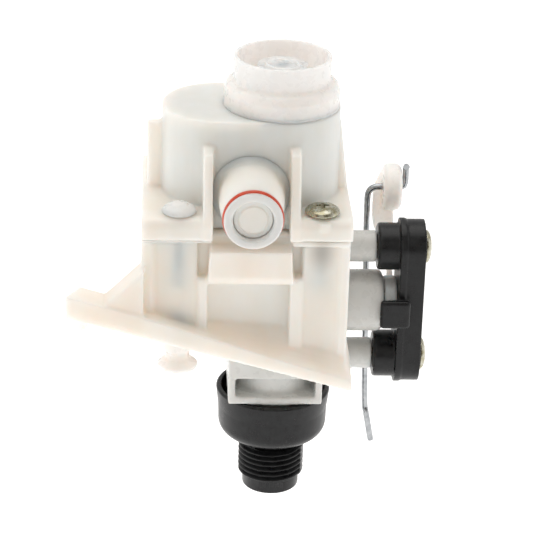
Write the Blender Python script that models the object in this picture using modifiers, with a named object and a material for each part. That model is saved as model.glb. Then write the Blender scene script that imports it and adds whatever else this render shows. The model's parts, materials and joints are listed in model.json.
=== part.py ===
"""Lever-operated water valve with a vacuum breaker on top and a side outlet.

Water enters the threaded fitting at the bottom, rises through the valve body and
its ball valve into the chamber, and leaves by the outlet spigot at the front.
Sizes are in millimetres, written as multiples of MM. The design frame has the inlet
axis at X = Y = 0 and +Z up; the empty "assembly" moves everything so that the world
origin is the point where the sloped flange rests on its support, in front of the inlet.
"""
import math

import bmesh
import bpy
from mathutils import Matrix, Vector

MM = 0.001
GAP = 0.3 * MM                      # clearance between touching pieces
MERGE = 0.00005

# segments round a turned shape
FINE = 28
MEDIUM = 22
COARSE = 14

# inlet fitting: threaded nipple under a cup
THREAD_RADIUS = 10.45 * MM          # 1/2 inch male pipe thread
THREAD_ROOT = 9.35 * MM
THREAD_PITCH = 1.814 * MM           # 14 threads an inch
THREAD_TOP = 17.5 * MM
THREAD_TURNS = 6
LEAD_IN_RADIUS = 9.0 * MM
NIPPLE_END = 2.2 * MM
INLET_BORE = 6.4 * MM
CUP_RIM_RADIUS = 17.9 * MM
CUP_RIM_TOP = 37.4 * MM
CUP_SIDE_RADIUS = 17.0 * MM
CUP_ROUND = 7.2 * MM                # rounding under the cup
CUP_ROUND_TOP = 28.7 * MM
CUP_FLOOR = 24.2 * MM
CUP_INNER_RADIUS = 15.7 * MM
CUP_INNER_ROUND = 2.6 * MM

SCREEN_RADIUS = 6.05 * MM           # domed strainer in the nipple's bore
SCREEN_TOP = 10.2 * MM
SCREEN_THICKNESS = 0.8 * MM

# flat rings: outer radius, inner radius, lower face and upper face, in millimetres
INLET_WASHER = (10.2, 6.9, 24.5, 26.3)
SWIVEL_RING = (14.6, 11.0, 27.6, 29.8)
FLOAT_CAGE = (10.6, 6.8, 126.6, 128.2)
FLOAT_SEAL = (7.9, 4.7, 131.8, 133.3)
FLOW_DISC = (4.7, 1.5, 33.8, 35.4)

# valve body: vertical tube, square lug, barrel and posts
NECK_RADIUS = 10.6 * MM
NECK_BOTTOM = 26.7 * MM
TUBE_RADIUS = 10.2 * MM
TUBE_TOP = 100.6 * MM
FLOW_BORE = 6.0 * MM
LUG_HALF = 14.65 * MM
LUG_DEPTH = 30.0 * MM
LUG_EDGE = 1.6 * MM
LUG_BOTTOM = 37.7 * MM
LUG_TOP = 57.0 * MM
WINDOW_HALF = 12.5 * MM
WINDOW_LOW = 38.8 * MM
WINDOW_HIGH = 46.2 * MM
WINDOW_DEPTH = 5.5 * MM
STEM_Z = 67.0 * MM                  # height of the lever's axis
BARREL_RADIUS = 9.65 * MM
BARREL_END = 33.3 * MM
BARREL_EDGE = 1.4 * MM
BALL_BORE = 7.6 * MM
SEAT_BORE = 7.5 * MM
SEAT_REACH = 8.9 * MM               # from the ball's centre to the floor of a seat's bore
POST_SPREAD = 18.4 * MM             # post axes above and below the lever's axis
POST_RADIUS = 4.92 * MM
POST_END = 30.6 * MM
SCREW_HOLE = 2.1 * MM
SCREW_HOLE_FLOOR = 16.0 * MM

# ball, seats and stem
BALL_RADIUS = 7.0 * MM
BALL_PASSAGE = 3.2 * MM
SEAT_HOLE = 3.6 * MM
SEAT_RADIUS = 7.2 * MM
SEAT_LIP = 4.0 * MM                 # distances from the ball's centre
SEAT_THROAT = 6.4 * MM
SEAT_FOOT = 8.6 * MM
TRANSFER_RING_RADIUS = 11.6 * MM
TRANSFER_RING_Z = 99.3 * MM
LEVER_TRAVEL = math.radians(60)     # turn from closed, as modelled, to open
STEM_RADIUS = 7.2 * MM
STEM_START = 7.8 * MM
STEM_RING_PLACES = (13.2 * MM, 18.2 * MM)
RING_GROOVE_HALF = 1.2 * MM
RING_GROOVE_FLOOR = 5.2 * MM
STEM_RING_RADIUS = 6.4 * MM
STEM_RING_WIRE = 0.9 * MM
DRIVE_HALF = 3.0 * MM
PIVOT_PIN = 2.6 * MM
PIN_END = 41.0 * MM

# lever and pull rod
HUB_RADIUS = 7.75 * MM
HUB_START = 33.6 * MM
HUB_END = 37.4 * MM
EYE_RADIUS = 7.5 * MM
EYE_START = 34.2 * MM
EYE_END = 40.1 * MM
EYE_Y = 24.0 * MM
EYE_Z = 95.5 * MM
WEB_NEAR = 3.0 * MM                 # the web lies behind the line from hub to eye
WEB_THICKNESS = 3.0 * MM
ROD_RADIUS = 1.0 * MM
ROD_HOLE = 1.35 * MM

# yoke
YOKE_FACE = 37.7 * MM
YOKE_BACK = 45.5 * MM
YOKE_RADIUS = 8.9 * MM
YOKE_BOSS_RADIUS = 7.35 * MM
YOKE_BOSS_START = 30.9 * MM
YOKE_EDGE = 0.9 * MM

# lower housing with its sloped base flange
BODY_LEFT = -41.8 * MM
BODY_RIGHT = 21.6 * MM
BODY_FRONT = -21.0 * MM
BODY_BACK = 24.6 * MM
BODY_TOP = 97.9 * MM
WALL = 2.4 * MM
PILASTER_FRONT = -25.0 * MM
SHELF_LOW = 93.2 * MM
SHELF_Z = 95.0 * MM
HOOD_FRONT = -28.0 * MM
HOOD_BOTTOM = 83.6 * MM
FLANGE_FRONT = -30.0 * MM
FLANGE_LEFT = -64.3 * MM
RAIL_BACK = -25.4 * MM
FLANGE_LEFT_Z = 73.9 * MM           # underside at the left end
FLANGE_SLOPE = math.tan(math.radians(15.5))
LIP_LEFT = 7.4 * MM                 # flange thickness at its left end
LIP_BEND = 7.0 * MM
LIP_RIGHT = 3.5 * MM
BELOW = 40.0                        # millimetres, lower than any of the housing
SEAT_Y = -25.0 * MM                 # the world origin lies on the underside, at X = 0

# upper housing, vent cup and vacuum breaker
CHAMBER_LEFT_X = -18.0 * MM
CHAMBER_RADIUS = 17.85 * MM
CHAMBER_WALL = 2.2 * MM
CHAMBER_TOP = 132.2 * MM
EAR_BOTTOM = 98.2 * MM
EAR_TOP = 105.0 * MM
EAR_FRONT = -27.4 * MM
EAR_BACK = 27.4 * MM
NOTCH_LEFT = -20.6 * MM
NOTCH_RIGHT = 3.2 * MM
NOTCH_BACK = -17.0 * MM
EAR_RIGHT = 22.2 * MM
FIN_PLACES = (-23.0, 4.1)           # millimetres
FIN_THICKNESS = 2.5 * MM
WEB_PLATE = 2.6 * MM
VENT_HOLE = 11.0 * MM
FLOAT_RADIUS = 8.2 * MM
FLOAT_STEM = 1.35 * MM
GUIDE_BORE = 1.7 * MM
GUIDE_TOP = 144.8 * MM
GUIDE_DISC_RADIUS = 7.6 * MM
VENT_FLOOR = 139.8 * MM

# outlet spigot
SPIGOT_X = -9.3 * MM
SPIGOT_Z = 110.0 * MM
SPIGOT_RADIUS = 8.15 * MM
SPIGOT_FACE = 40.0 * MM             # distance of the face in front of the inlet axis
SPIGOT_BORE = 5.0 * MM
OUTLET_RING_RADIUS = 7.8 * MM
OUTLET_RING_WIRE = 1.1 * MM
OUTLET_RING_PLACE = 37.1 * MM
SPIGOT_BEHIND_RING = 8.75 * MM      # the tube widens from the O-ring back to its root
SPIGOT_ROOT = 9.7 * MM
SPIGOT_SLEEVE = 7.6 * MM            # the part that plugs into the chamber's boss
SPIGOT_INNER_END = 15.0 * MM
SPIGOT_BOSS_RADIUS = 10.4 * MM
SPIGOT_BOSS_FRONT = 21.3 * MM

# fasteners: X and Y of the four housing fixings
FIXING_RIGHT = 12.0 * MM
FIXING_LEFT = -30.6 * MM
FIXING_FRONT = -20.9 * MM
FIXING_BACK = 20.7 * MM
FIXING_BOSS = 5.2 * MM
# head radius, head height and shank length of the fasteners
YOKE_SCREW = (5.15 * MM, 2.1 * MM, 26 * MM)
HOUSING_SCREW = (5.85 * MM, 2.3 * MM, 20 * MM)
HOUSING_RIVET = (5.2 * MM, 2.6 * MM, 18 * MM)
COLUMN_RADIUS = 4.4 * MM            # screw columns inside the back wall
COLUMN_LOW = 78.0 * MM
FIXING_HOLE_LOW = 82.0 * MM

# stud and nub under the sloped flange
STUD_Y = -20.9 * MM
STUD_COLLAR = 4.2 * MM
STUD_COLLAR_HIGH = 3.4 * MM         # heights above the flange's underside
STUD_SHANK_HIGH = 7.0 * MM
STUD_PLAY = 0.8 * MM
STUD_HEAD = 6.2 * MM
NUB_X = -58.7 * MM
NUB_Y = -27.8 * MM
NUB_HEIGHT = 3.2 * MM

X_AXIS = Vector((1, 0, 0))
Y_AXIS = Vector((0, 1, 0))
Z_AXIS = Vector((0, 0, 1))

COLOURS = {
    "cream": ((0.80, 0.77, 0.70), 0.35, 0.0),
    "cool_white": ((0.72, 0.72, 0.69), 0.40, 0.0),
    "black": ((0.015, 0.015, 0.016), 0.42, 0.0),
    "rubber": ((0.03, 0.03, 0.03), 0.75, 0.0),
    "red_rubber": ((0.72, 0.07, 0.03), 0.45, 0.0),
    "zinc": ((0.62, 0.63, 0.62), 0.25, 1.0),
    "steel": ((0.55, 0.56, 0.57), 0.35, 1.0),
    "seat": ((0.90, 0.90, 0.88), 0.50, 0.0),
}


def clear_scene():
    for obj in list(bpy.data.objects):
        bpy.data.objects.remove(obj, do_unlink=True)


def make_material(name, finish):
    colour, roughness, metallic = COLOURS[finish]
    material = bpy.data.materials.new(name)
    material.use_nodes = True
    shader = material.node_tree.nodes["Principled BSDF"]
    shader.inputs["Base Color"].default_value = (*colour, 1)
    shader.inputs["Roughness"].default_value = roughness
    shader.inputs["Metallic"].default_value = metallic
    return material


def make_collection(name):
    collection = bpy.data.collections.new(name)
    bpy.context.scene.collection.children.link(collection)
    return collection


def make_empty(name, location, parent=None):
    empty = bpy.data.objects.new(name, None)
    empty.location = location
    empty.parent = parent
    PARTS.objects.link(empty)
    return empty


def add_object(name, mesh):
    """A shape starts as a tool; publish() makes it a part."""
    obj = bpy.data.objects.new(name, mesh)
    TOOLS.objects.link(obj)
    obj.hide_render = True
    obj.display_type = "WIRE"
    obj.parent = ASSEMBLY
    return obj


def publish(obj, name, finish, pivot=None):
    """Make a shape a named part, under its pivot if it moves."""
    TOOLS.objects.unlink(obj)
    PARTS.objects.link(obj)
    obj.name = name
    obj.hide_render = False
    obj.display_type = "TEXTURED"
    obj.data.materials.clear()
    obj.data.materials.append(make_material(name, finish))
    if pivot:
        obj.matrix_basis = Matrix.Translation(-pivot.location) @ obj.matrix_basis
        obj.parent = pivot
    return obj


def smooth(obj, angle=35):
    obj.data.shade_smooth()
    obj.data.set_sharp_from_angle(angle=math.radians(angle))
    return obj


def turn_onto(axis):
    """Rotation that takes +Z onto an axis."""
    return Z_AXIS.rotation_difference(axis).to_matrix().to_4x4()


def box(low, high, edge=0.0):
    """A cuboid between two corners given in millimetres, with its edges rounded by edge."""
    low, high = Vector(low) * MM, Vector(high) * MM
    shape = bmesh.new()
    bmesh.ops.create_cube(shape, size=1)
    bmesh.ops.transform(
        shape,
        matrix=Matrix.Translation((low + high) / 2) @ Matrix.Diagonal((*(high - low), 1)),
        verts=shape.verts,
    )
    if edge:
        bmesh.ops.bevel(
            shape, geom=shape.edges[:], offset=edge, segments=2, profile=0.5, affect="EDGES"
        )
    mesh = bpy.data.meshes.new("box")
    shape.to_mesh(mesh)
    shape.free()
    return add_object("box", mesh)


def cylinder(radius, start, end, segments=MEDIUM, end_radius=None):
    """A cylinder, or cone, between two points."""
    start, end = Vector(start), Vector(end)
    shape = bmesh.new()
    bmesh.ops.create_cone(
        shape,
        cap_ends=True,
        segments=segments,
        radius1=radius,
        radius2=radius if end_radius is None else end_radius,
        depth=(end - start).length,
    )
    matrix = Matrix.Translation((start + end) / 2) @ turn_onto(end - start)
    bmesh.ops.transform(shape, matrix=matrix, verts=shape.verts)
    mesh = bpy.data.meshes.new("cylinder")
    shape.to_mesh(mesh)
    shape.free()
    return smooth(add_object("cylinder", mesh))


def turned(profile, place=(0, 0, 0), axis=Z_AXIS, segments=MEDIUM):
    """A turned shape: a closed outline of (radius, height) that runs down its outer side.

    An outline whose ends lie on the axis stays open there, and the turning closes it.
    """
    mesh = bpy.data.meshes.new("turned")
    points = [(radius, 0, height) for radius, height in profile]
    edges = [(i, i + 1) for i in range(len(points) - 1)]
    if profile[0][0] > 0:
        edges.append((len(points) - 1, 0))
    mesh.from_pydata(points, edges, [])
    obj = add_object("turned", mesh)
    screw = obj.modifiers.new("turn", "SCREW")
    screw.axis = "Z"
    screw.angle = math.tau
    screw.steps = segments
    screw.render_steps = segments
    screw.use_merge_vertices = True
    screw.merge_threshold = MERGE
    screw.use_smooth_shade = True
    obj.matrix_basis = Matrix.Translation(Vector(place)) @ turn_onto(Vector(axis))
    return obj


def flat_shape(points, depth, frame):
    """An outline in millimetres with a thickness; frame takes its plane to the design frame."""
    curve = bpy.data.curves.new("outline", "CURVE")
    curve.dimensions = "2D"
    curve.fill_mode = "BOTH"
    curve.extrude = depth / 2
    spline = curve.splines.new("POLY")
    spline.points.add(len(points) - 1)
    for point, (x, y) in zip(spline.points, points):
        point.co = (x * MM, y * MM, 0, 1)
    spline.use_cyclic_u = True
    guide = bpy.data.objects.new("outline", curve)
    TOOLS.objects.link(guide)
    view = bpy.context.evaluated_depsgraph_get()
    mesh = bpy.data.meshes.new_from_object(guide.evaluated_get(view))
    bpy.data.objects.remove(guide, do_unlink=True)
    shape = bmesh.new()
    shape.from_mesh(mesh)
    bmesh.ops.remove_doubles(shape, verts=shape.verts, dist=MERGE / 10)
    bmesh.ops.recalc_face_normals(shape, faces=shape.faces)
    bmesh.ops.transform(shape, matrix=frame, verts=shape.verts)
    if frame.determinant() < 0:
        bmesh.ops.reverse_faces(shape, faces=shape.faces)
    shape.to_mesh(mesh)
    shape.free()
    return add_object("flat_shape", mesh)


def front_plane(y):
    """Frame of an outline drawn in X and Z, centred on the depth y."""
    return Matrix.Translation((0, y, 0)) @ Matrix.Rotation(math.pi / 2, 4, "X")


def side_plane(x):
    """Frame of an outline drawn in Y and Z, centred on x."""
    return Matrix.Translation((x, 0, 0)) @ Matrix(
        ((0, 0, 1, 0), (1, 0, 0, 0), (0, 1, 0, 0), (0, 0, 0, 1))
    )


def plan_plane(z):
    """Frame of an outline drawn in X and Y, centred on the height z."""
    return Matrix.Translation((0, 0, z))


def arc(centre, radius, start, end, steps):
    """Points on an arc in millimetres, from one angle to another in degrees."""
    angles = [math.radians(start + (end - start) * i / steps) for i in range(steps + 1)]
    return [(centre[0] + radius * math.cos(a), centre[1] + radius * math.sin(a)) for a in angles]


def stadium(near, far, radius, steps=12):
    """Outline of two half circles joined by straight sides, along the first coordinate."""
    left = arc((near, 0), radius, 90, 270, steps)
    right = arc((far, 0), radius, -90, 90, steps)
    return left + right


def combine(obj, tool, operation):
    modifier = obj.modifiers.new(operation.lower(), "BOOLEAN")
    modifier.operation = operation
    modifier.solver = "EXACT"
    modifier.object = tool
    return obj


def join(obj, *tools):
    for tool in tools:
        combine(obj, tool, "UNION")
    return obj


def cut(obj, *tools):
    for tool in tools:
        combine(obj, tool, "DIFFERENCE")
    return obj


def flat_ring(sizes, place=(0, 0, 0), axis=Z_AXIS, segments=MEDIUM):
    """A washer, from its radii and faces."""
    outer, inner, low, high = (size * MM for size in sizes)
    profile = [(outer, high), (outer, low), (inner, low), (inner, high)]
    return turned(profile, place, axis, segments)


def ring(radius, wire, place, axis=Z_AXIS):
    """An O-ring about an axis."""
    profile = [
        (radius + dr * MM, dz * MM)
        for dr, dz in reversed(arc((0, 0), wire / MM, 0, 300, 5))
    ]
    return turned(profile, place, axis)


# ---- inlet fitting ----------------------------------------------------------------


def thread_profile():
    """Crests and roots of the thread, from the top down."""
    points = []
    for turn in range(THREAD_TURNS):
        top = THREAD_TOP - turn * THREAD_PITCH
        points.append((THREAD_ROOT, top))
        points.append((THREAD_RADIUS, top - THREAD_PITCH / 2))
    points.append((THREAD_ROOT, THREAD_TOP - THREAD_TURNS * THREAD_PITCH))
    return points


def make_inlet_fitting():
    rounding = [
        (radius * MM, height * MM)
        for radius, height in arc(
            ((CUP_SIDE_RADIUS - CUP_ROUND) / MM, CUP_ROUND_TOP / MM), CUP_ROUND / MM, 0, -90, 6
        )
    ]
    outer = [
        (CUP_RIM_RADIUS - 0.4 * MM, CUP_RIM_TOP),
        (CUP_RIM_RADIUS, CUP_RIM_TOP - 0.4 * MM),
        (CUP_RIM_RADIUS - 0.4 * MM, CUP_RIM_TOP - 4.5 * MM),
        *rounding,
        (THREAD_ROOT, THREAD_TOP + 1.0 * MM),
        *thread_profile(),
        (LEAD_IN_RADIUS, NIPPLE_END + 4.0 * MM),
        (LEAD_IN_RADIUS, NIPPLE_END + 0.6 * MM),
        (LEAD_IN_RADIUS - 0.6 * MM, NIPPLE_END),
    ]
    inner = [
        (INLET_BORE, NIPPLE_END),
        (INLET_BORE, CUP_FLOOR),
        (CUP_INNER_RADIUS - CUP_INNER_ROUND, CUP_FLOOR),
        (CUP_INNER_RADIUS, CUP_FLOOR + CUP_INNER_ROUND),
        (CUP_INNER_RADIUS + 0.4 * MM, CUP_RIM_TOP),
    ]
    return publish(turned(outer + inner, segments=FINE), "inlet_fitting", "black")


def make_inlet_inner_parts():
    publish(flat_ring(INLET_WASHER, segments=COARSE), "inlet_washer", "rubber")
    publish(flat_ring(SWIVEL_RING), "swivel_ring", "cool_white")
    dome = [(0, SCREEN_TOP), (4.0 * MM, SCREEN_TOP - 0.4 * MM), (SCREEN_RADIUS, SCREEN_TOP - 1.2 * MM)]
    underside = [(radius, height - SCREEN_THICKNESS) for radius, height in reversed(dome)]
    publish(turned(dome + underside, segments=COARSE), "inlet_screen", "steel")


# ---- valve body -------------------------------------------------------------------


def make_valve_body():
    body = turned(
        [
            (0, TUBE_TOP),
            (TUBE_RADIUS - 0.5 * MM, TUBE_TOP),
            (TUBE_RADIUS, TUBE_TOP - 0.5 * MM),
            (TUBE_RADIUS, LUG_TOP),
            (NECK_RADIUS, LUG_TOP - 1.0 * MM),
            (NECK_RADIUS, NECK_BOTTOM),
            (0, NECK_BOTTOM),
        ],
        segments=FINE,
    )
    half = LUG_HALF / MM
    deep = LUG_DEPTH / MM / 2
    lug = box((-half, -deep, LUG_BOTTOM / MM), (half, deep, LUG_TOP / MM), LUG_EDGE)
    window_half = WINDOW_HALF / MM
    window = box(
        (-window_half, -deep - 1, WINDOW_LOW / MM),
        (window_half, -deep + WINDOW_DEPTH / MM, WINDOW_HIGH / MM),
    )
    cut(lug, window)
    barrel = turned(
        [
            (0, BARREL_END),
            (BARREL_RADIUS - BARREL_EDGE, BARREL_END),
            (BARREL_RADIUS, BARREL_END - BARREL_EDGE),
            (BARREL_RADIUS, 0),
            (0, 0),
        ],
        (0, 0, STEM_Z),
        X_AXIS,
    )
    join(body, lug, barrel)
    for z in (STEM_Z + POST_SPREAD, STEM_Z - POST_SPREAD):
        join(body, cylinder(POST_RADIUS, (4 * MM, 0, z), (POST_END, 0, z)))
    flow = turned(
        [
            (0, TUBE_TOP + 1 * MM),
            (FLOW_BORE, TUBE_TOP + 1 * MM),
            (FLOW_BORE, STEM_Z + SEAT_REACH),
            (SEAT_BORE, STEM_Z + SEAT_REACH),
            (SEAT_BORE, STEM_Z - SEAT_REACH),
            (FLOW_BORE, STEM_Z - SEAT_REACH),
            (FLOW_BORE, NECK_BOTTOM - 1 * MM),
            (0, NECK_BOTTOM - 1 * MM),
        ]
    )
    chamber = cylinder(BALL_BORE, (-7.6 * MM, 0, STEM_Z), (BARREL_END + 1 * MM, 0, STEM_Z), 30)
    cut(body, flow, chamber)
    for z in (STEM_Z + POST_SPREAD, STEM_Z - POST_SPREAD):
        cut(body, cylinder(SCREW_HOLE, (SCREW_HOLE_FLOOR, 0, z), (POST_END + 1 * MM, 0, z), COARSE))
    return publish(body, "valve_body", "cool_white")


def make_ball_seats():
    for name, side in (("ball_seat_lower", -1), ("ball_seat_upper", 1)):
        seat = turned(
            [
                (SEAT_RADIUS, -SEAT_LIP),
                (SEAT_RADIUS, -SEAT_FOOT),
                (SEAT_HOLE, -SEAT_FOOT),
                (SEAT_HOLE, -SEAT_THROAT),
            ],
            (0, 0, STEM_Z),
            Z_AXIS * -side,
        )
        publish(seat, name, "seat")
    seal = ring(TRANSFER_RING_RADIUS, STEM_RING_WIRE, (0, 0, TRANSFER_RING_Z))
    publish(seal, "transfer_o_ring", "rubber")


# ---- lever body: ball, stem, lever ------------------------------------------------


def lever_direction():
    """Unit vector from the lever's axis to the eye."""
    return Vector((0, EYE_Y, EYE_Z - STEM_Z)).normalized()


def make_ball():
    shape = bmesh.new()
    bmesh.ops.create_uvsphere(shape, u_segments=24, v_segments=16, radius=BALL_RADIUS)
    bmesh.ops.translate(shape, vec=(0, 0, STEM_Z), verts=shape.verts)
    mesh = bpy.data.meshes.new("ball")
    shape.to_mesh(mesh)
    shape.free()
    ball = smooth(add_object("ball", mesh))
    passage = Vector((0, -math.sin(LEVER_TRAVEL), math.cos(LEVER_TRAVEL))) * 10 * MM
    centre = Vector((0, 0, STEM_Z))
    slot = box((4.3, -1.5, 62.6), (9, 1.5, 71.4))
    cut(ball, cylinder(BALL_PASSAGE, centre - passage, centre + passage, COARSE), slot)
    return publish(ball, "valve_ball", "steel", LEVER_PIVOT)


def make_stem():
    grooves = []
    for place in reversed(STEM_RING_PLACES):
        grooves += [
            (STEM_RADIUS, place + RING_GROOVE_HALF),
            (RING_GROOVE_FLOOR, place + RING_GROOVE_HALF),
            (RING_GROOVE_FLOOR, place - RING_GROOVE_HALF),
            (STEM_RADIUS, place - RING_GROOVE_HALF),
        ]
    end = HUB_START - GAP
    profile = [(0, end), (STEM_RADIUS, end), *grooves, (STEM_RADIUS, STEM_START), (0, STEM_START)]
    stem = turned(profile, (0, 0, STEM_Z), X_AXIS)
    half = DRIVE_HALF / MM
    z = STEM_Z / MM
    tongue = box((4.7, -1.2, z - 3.6), (9, 1.2, z + 3.6))
    drive = box((32, -half, z - half), (HUB_END / MM - 0.2, half, z + half))
    pin = cylinder(PIVOT_PIN, (HUB_START - GAP * 2, 0, STEM_Z), (PIN_END, 0, STEM_Z), COARSE)
    join(stem, tongue, drive, pin)
    publish(stem, "valve_stem", "seat", LEVER_PIVOT)
    for name, place in zip(("stem_o_ring_inner", "stem_o_ring_outer"), STEM_RING_PLACES):
        seal = ring(STEM_RING_RADIUS, STEM_RING_WIRE, (place, 0, STEM_Z), X_AXIS)
        publish(seal, name, "rubber", LEVER_PIVOT)


WEB_OUTLINE = (
    # X and distance along the web, in millimetres, from the hub to the eye
    (35.4, 0), (37.2, 0), (37.2, 21), (37.9, 28), (37.9, 42), (36.4, 44.6),
    (33.8, 44.6), (31.9, 38.4), (31.2, 30), (31.5, 26.3), (35.4, 16),
)


def make_lever():
    """Hub and eye joined by a web that lies behind both and steps across to the hub."""
    lever = cylinder(HUB_RADIUS, (HUB_START, 0, STEM_Z), (HUB_END, 0, STEM_Z))
    along = lever_direction()
    behind = Vector((0, along.z, -along.y))
    origin = Vector((0, 0, STEM_Z)) + behind * (WEB_NEAR + WEB_THICKNESS / 2)
    frame = Matrix.Translation(origin) @ Matrix(
        (
            (1, along.x, -behind.x, 0),
            (0, along.y, -behind.y, 0),
            (0, along.z, -behind.z, 0),
            (0, 0, 0, 1),
        )
    )
    web = flat_shape(WEB_OUTLINE, WEB_THICKNESS, frame)
    eye = turned(
        [
            (0, EYE_END),
            (EYE_RADIUS - 0.8 * MM, EYE_END),
            (EYE_RADIUS, EYE_END - 0.8 * MM),
            (EYE_RADIUS, EYE_START + 0.8 * MM),
            (EYE_RADIUS - 0.8 * MM, EYE_START),
            (0, EYE_START),
        ],
        (0, EYE_Y, EYE_Z),
        X_AXIS,
    )
    join(lever, web, eye)
    half = DRIVE_HALF / MM + 0.3
    z = STEM_Z / MM
    socket = box((HUB_START / MM - 1, -half, z - half), (HUB_END / MM + 1, half, z + half))
    hole = cylinder(ROD_HOLE, (30 * MM, EYE_Y, EYE_Z), (42 * MM, EYE_Y, EYE_Z), COARSE)
    cut(lever, socket, hole)
    return publish(lever, "lever", "cream", LEVER_PIVOT)


ROD_ROUTE = (
    # X, Y and Z in millimetres, from the hooked top end down to the lower end
    (39.7, 23.6, 104.9), (40.9, 23.9, 104.7), (41.6, 24.0, 103.4), (41.7, 24.0, 99.2),
    (41.6, 24.0, 96.9), (41.1, 24.0, 95.8), (40.3, 24.0, 95.5), (33.4, 24.0, 95.5),
    (31.2, 24.0, 95.2), (29.9, 24.0, 93.9), (29.5, 24.0, 91.6), (29.9, 24.0, 76.0),
    (31.2, 24.0, 38.0), (31.9, 24.0, 17.6), (32.4, 23.2, 15.6), (33.2, 22.8, 11.4),
    (34.4, 22.4, 5.2),
)


def make_pull_rod():
    curve = bpy.data.curves.new("pull_rod", "CURVE")
    curve.dimensions = "3D"
    curve.bevel_depth = ROD_RADIUS
    curve.bevel_resolution = 2
    curve.use_fill_caps = True
    spline = curve.splines.new("POLY")
    spline.points.add(len(ROD_ROUTE) - 1)
    for point, place in zip(spline.points, ROD_ROUTE):
        local = Vector(place) * MM - ROD_PIVOT_PLACE
        point.co = (*local, 1)
    rod = bpy.data.objects.new("pull_rod", curve)
    PARTS.objects.link(rod)
    rod.parent = ROD_PIVOT
    curve.materials.append(make_material("pull_rod", "zinc"))
    return rod


# ---- yoke -------------------------------------------------------------------------


def make_yoke():
    """Stadium plate across the two posts, with a boss for each and a stop tab in front."""
    spread = POST_SPREAD / MM
    outline = [(y, STEM_Z / MM + z) for z, y in stadium(-spread, spread, YOKE_RADIUS / MM)]
    middle = (YOKE_FACE + YOKE_BACK) / 2
    yoke = flat_shape(outline, YOKE_BACK - YOKE_FACE, side_plane(middle))
    bevel = yoke.modifiers.new("edge", "BEVEL")
    bevel.width = YOKE_EDGE
    bevel.segments = 1
    bevel.limit_method = "ANGLE"
    bevel.angle_limit = math.radians(60)
    z_middle = STEM_Z / MM
    tab = box((31.8, -12.5, z_middle - 4.4), (41.2, -10.0, z_middle + 4.9), YOKE_EDGE)
    tab_root = box((34.0, -11.4, z_middle - 3.4), (40.2, -8.2, z_middle + 3.9))
    join(yoke, tab, tab_root)
    past = 1 * MM
    for z in (STEM_Z + POST_SPREAD, STEM_Z - POST_SPREAD):
        boss = cylinder(YOKE_BOSS_RADIUS, (YOKE_BOSS_START, 0, z), (YOKE_FACE + past, 0, z))
        start, end = (YOKE_BOSS_START - past, 0, z), (YOKE_BACK + past, 0, z)
        join(yoke, boss)
        cut(yoke, cylinder(SCREW_HOLE, start, end, COARSE))
    start, end = (YOKE_FACE - past, 0, STEM_Z), (PIN_END + 2 * GAP, 0, STEM_Z)
    cut(yoke, cylinder(PIVOT_PIN + GAP, start, end, COARSE))
    return publish(yoke, "yoke", "black")


def screw_profile(head_radius, head_height, shank_length, shank_radius=1.8 * MM):
    """Domed head above zero, shank below it."""
    dome = [
        (head_radius * math.cos(math.radians(angle)), head_height * math.sin(math.radians(angle)))
        for angle in (90, 65, 40, 18)
    ]
    dome[0] = (0, head_height)
    return [
        *dome,
        (head_radius, 0),
        (shank_radius, 0),
        (shank_radius, GAP - shank_length),
        (shank_radius - 0.9 * MM, -shank_length),
        (0, -shank_length),
    ]


def make_yoke_screws():
    for name, side in (("yoke_screw_upper", 1), ("yoke_screw_lower", -1)):
        profile = screw_profile(*YOKE_SCREW)
        place = (YOKE_BACK + GAP, 0, STEM_Z + side * POST_SPREAD)
        publish(turned(profile, place, X_AXIS, COARSE), name, "zinc")


# ---- lower housing ----------------------------------------------------------------


def flange_underside(x):
    """Height of the flange's underside at x, both in millimetres."""
    return (FLANGE_LEFT_Z - (x * MM - FLANGE_LEFT) * FLANGE_SLOPE) / MM


def flange_outline():
    """Side outline of the sloped flange, thinner to the right."""
    left, bend, right = FLANGE_LEFT / MM, BODY_LEFT / MM, BODY_RIGHT / MM + 0.3
    return [
        (left, flange_underside(left)),
        (right, flange_underside(right)),
        (right, flange_underside(right) + LIP_RIGHT / MM),
        (bend, flange_underside(bend) + LIP_BEND / MM),
        (left, flange_underside(left) + LIP_LEFT / MM),
    ]


def make_flange():
    """Plate under the body, and a rail that runs on past it to the left."""
    depth = BODY_BACK - FLANGE_FRONT
    flange = flat_shape(flange_outline(), depth, front_plane(FLANGE_FRONT + depth / 2))
    behind_rail = box(
        (FLANGE_LEFT / MM - 2, RAIL_BACK / MM, BELOW),
        (BODY_LEFT / MM, BODY_BACK / MM + 2, BODY_TOP / MM),
    )
    end = flat_shape(
        [(-67, -24.9), (-59.7, -24.9), (-64.6, -30.3), (-67, -30.3)], 40 * MM, plan_plane(76 * MM)
    )
    cut(flange, behind_rail, end)
    return flange


# left, right and upper end of each upright on the front wall, in millimetres
UPRIGHTS = ((-41.8, -38.2, 97.9), (-24.7, -21.9, 85), (3.7, 6.6, 85), (17.6, 21.6, 97.9))
SHELVES = ((-41.8, -20.6), (3.2, 21.6))


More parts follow.
